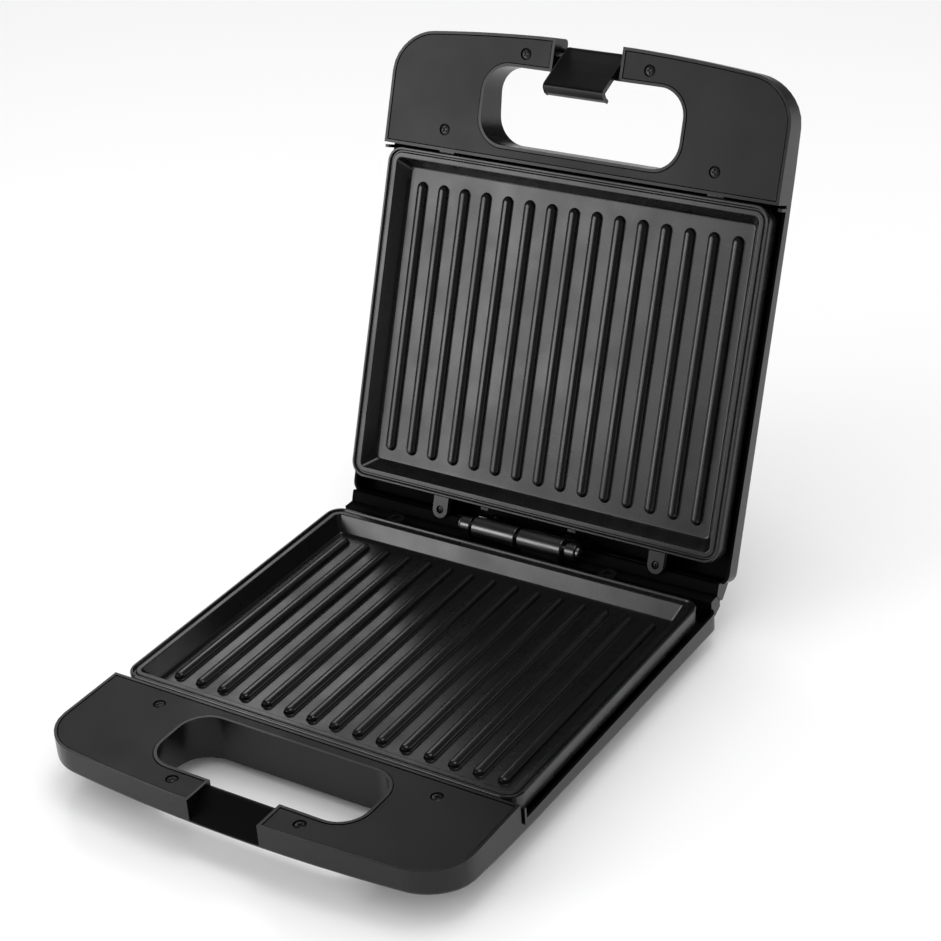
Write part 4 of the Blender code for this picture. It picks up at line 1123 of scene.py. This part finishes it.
class PANINI_OT_screws(bpy.types.Operator):
    """Build the screws of the covers, plates and hinge"""
    bl_idname = "panini.screws"
    bl_label = "Screws"

    def execute(self, context):
        back = Matrix.Rotation(math.pi / 2, 4, "X")
        kinds = (
            ("cover", screw_mesh(2.8 * MM, 1.0 * MM, 9 * MM),
             [Matrix.Translation(at(x, v, COVER_TOP + 0.2 * MM)) for x, v in screw_places()]),
            ("plate", screw_mesh(EAR_SEAT - CLEAR, 1.0 * MM, 8.5 * MM),
             [Matrix.Translation(at(x, EAR_CENTRE, EAR_LEVELS[0] + EAR_SINK)) for x in EARS]),
            ("hinge", screw_mesh(2.6 * MM, 1.6 * MM, 8 * MM),
             [Matrix.Translation(at(x, 5.4 * MM, HINGE_SCREW_LEVEL)) @ back
              for x in HINGE_SCREWS]))
        for kind, mesh, matrices in kinds:
            for side in ("lower", "upper"):
                screws(side, kind, mesh, matrices)
            bpy.data.meshes.remove(mesh)
        return {"FINISHED"}


class PANINI_OT_hinge(bpy.types.Operator):
    """Build the hinge's two leaves and its pin"""
    bl_idname = "panini.hinge"
    bl_label = "Hinge"

    def execute(self, context):
        for side in ("lower", "upper"):
            hinge_leaf(side)
        hinge_pin()
        return {"FINISHED"}


class PANINI_OT_latch(bpy.types.Operator):
    """Build the latch clip and its wire pin"""
    bl_idname = "panini.latch"
    bl_label = "Latch"

    def execute(self, context):
        latch()
        return {"FINISHED"}


class PANINI_OT_feet(bpy.types.Operator):
    """Build the rubber feet and the cord gland's bush"""
    bl_idname = "panini.feet"
    bl_label = "Feet and Gland"

    def execute(self, context):
        feet()
        gland()
        return {"FINISHED"}


class PANINI_OT_lenses(bpy.types.Operator):
    """Build the indicator lenses"""
    bl_idname = "panini.lenses"
    bl_label = "Lenses"

    def execute(self, context):
        lenses()
        return {"FINISHED"}


class PANINI_OT_inside(bpy.types.Operator):
    """Give the heating and wiring parts inside their finishes"""
    bl_idname = "panini.inside"
    bl_label = "Inside"

    def execute(self, context):
        for name, colour, roughness, metallic, nodes in inside_finishes():
            look = finish(name, colour, roughness, spread=0.1, coarse=150, fine=1800,
                          bump=0.15, metallic=metallic,
                          transmission=0.8 if "glass" in name else 0.0)
            for label in nodes:
                frame["nodes"][label].data.materials.clear()
                frame["nodes"][label].data.materials.append(look)
        return {"FINISHED"}


class PANINI_OT_stage(bpy.types.Operator):
    """Set up the floor, the lights and the camera"""
    bl_idname = "panini.stage"
    bl_label = "Stage"

    def execute(self, context):
        floor()
        world()
        camera()
        area_light("front left softbox", (-1.44, -1.84, 0.76), (0, 0.1, 0.15), (0.95, 1.0), 15)
        area_light("back left softbox", (-1.46, 1.4, 1.36), (0, 0, 0.05), (0.7, 0.6), 3.2)
        area_light("overhead softbox", (0.1, 0.3, 2.0), (0, 0.05, 0.05), (1.0, 0.7), 8)
        area_light("back right strip", (1.5, 1.2, 0.8), (0.1, 0.1, 0.15), (0.25, 1.2), 1.5)
        context.scene.view_settings.view_transform = "Standard"
        return {"FINISHED"}


class PANINI_PT_panel(bpy.types.Panel):
    """The press's pieces and settings"""
    bl_label = "Panini Press"
    bl_idname = "PANINI_PT_panel"
    bl_space_type = "VIEW_3D"
    bl_region_type = "UI"
    bl_category = "Panini Press"

    def draw(self, context):
        for group in (context.scene.panini_sizes, context.scene.panini_finishes):
            for name in group.__annotations__:
                self.layout.prop(group, name)
        for operator in OPERATORS:
            self.layout.operator(operator.bl_idname)


OPERATORS = (PANINI_OT_housings, PANINI_OT_handle_covers, PANINI_OT_grill_plates,
             PANINI_OT_screws, PANINI_OT_hinge, PANINI_OT_latch, PANINI_OT_feet,
             PANINI_OT_lenses, PANINI_OT_inside, PANINI_OT_stage)
CLASSES = (PaniniSizes, PaniniFinishes, *OPERATORS, PANINI_PT_panel)


def register():
    """Register the classes and hang the settings on the scene."""
    for item in CLASSES:
        bpy.utils.register_class(item)
    bpy.types.Scene.panini_sizes = PointerProperty(type=PaniniSizes)
    bpy.types.Scene.panini_finishes = PointerProperty(type=PaniniFinishes)


def unregister():
    """Take the settings off the scene and unregister the classes."""
    del bpy.types.Scene.panini_finishes
    del bpy.types.Scene.panini_sizes
    for item in reversed(CLASSES):
        bpy.utils.unregister_class(item)


def main():
    """Build every piece in turn."""
    register()
    bpy.ops.panini.housings()
    bpy.ops.panini.handle_covers()
    bpy.ops.panini.grill_plates()
    bpy.ops.panini.screws()
    bpy.ops.panini.hinge()
    bpy.ops.panini.latch()
    bpy.ops.panini.feet()
    bpy.ops.panini.lenses()
    bpy.ops.panini.inside()
    bpy.ops.panini.stage()


if __name__ == "__main__":
    main()
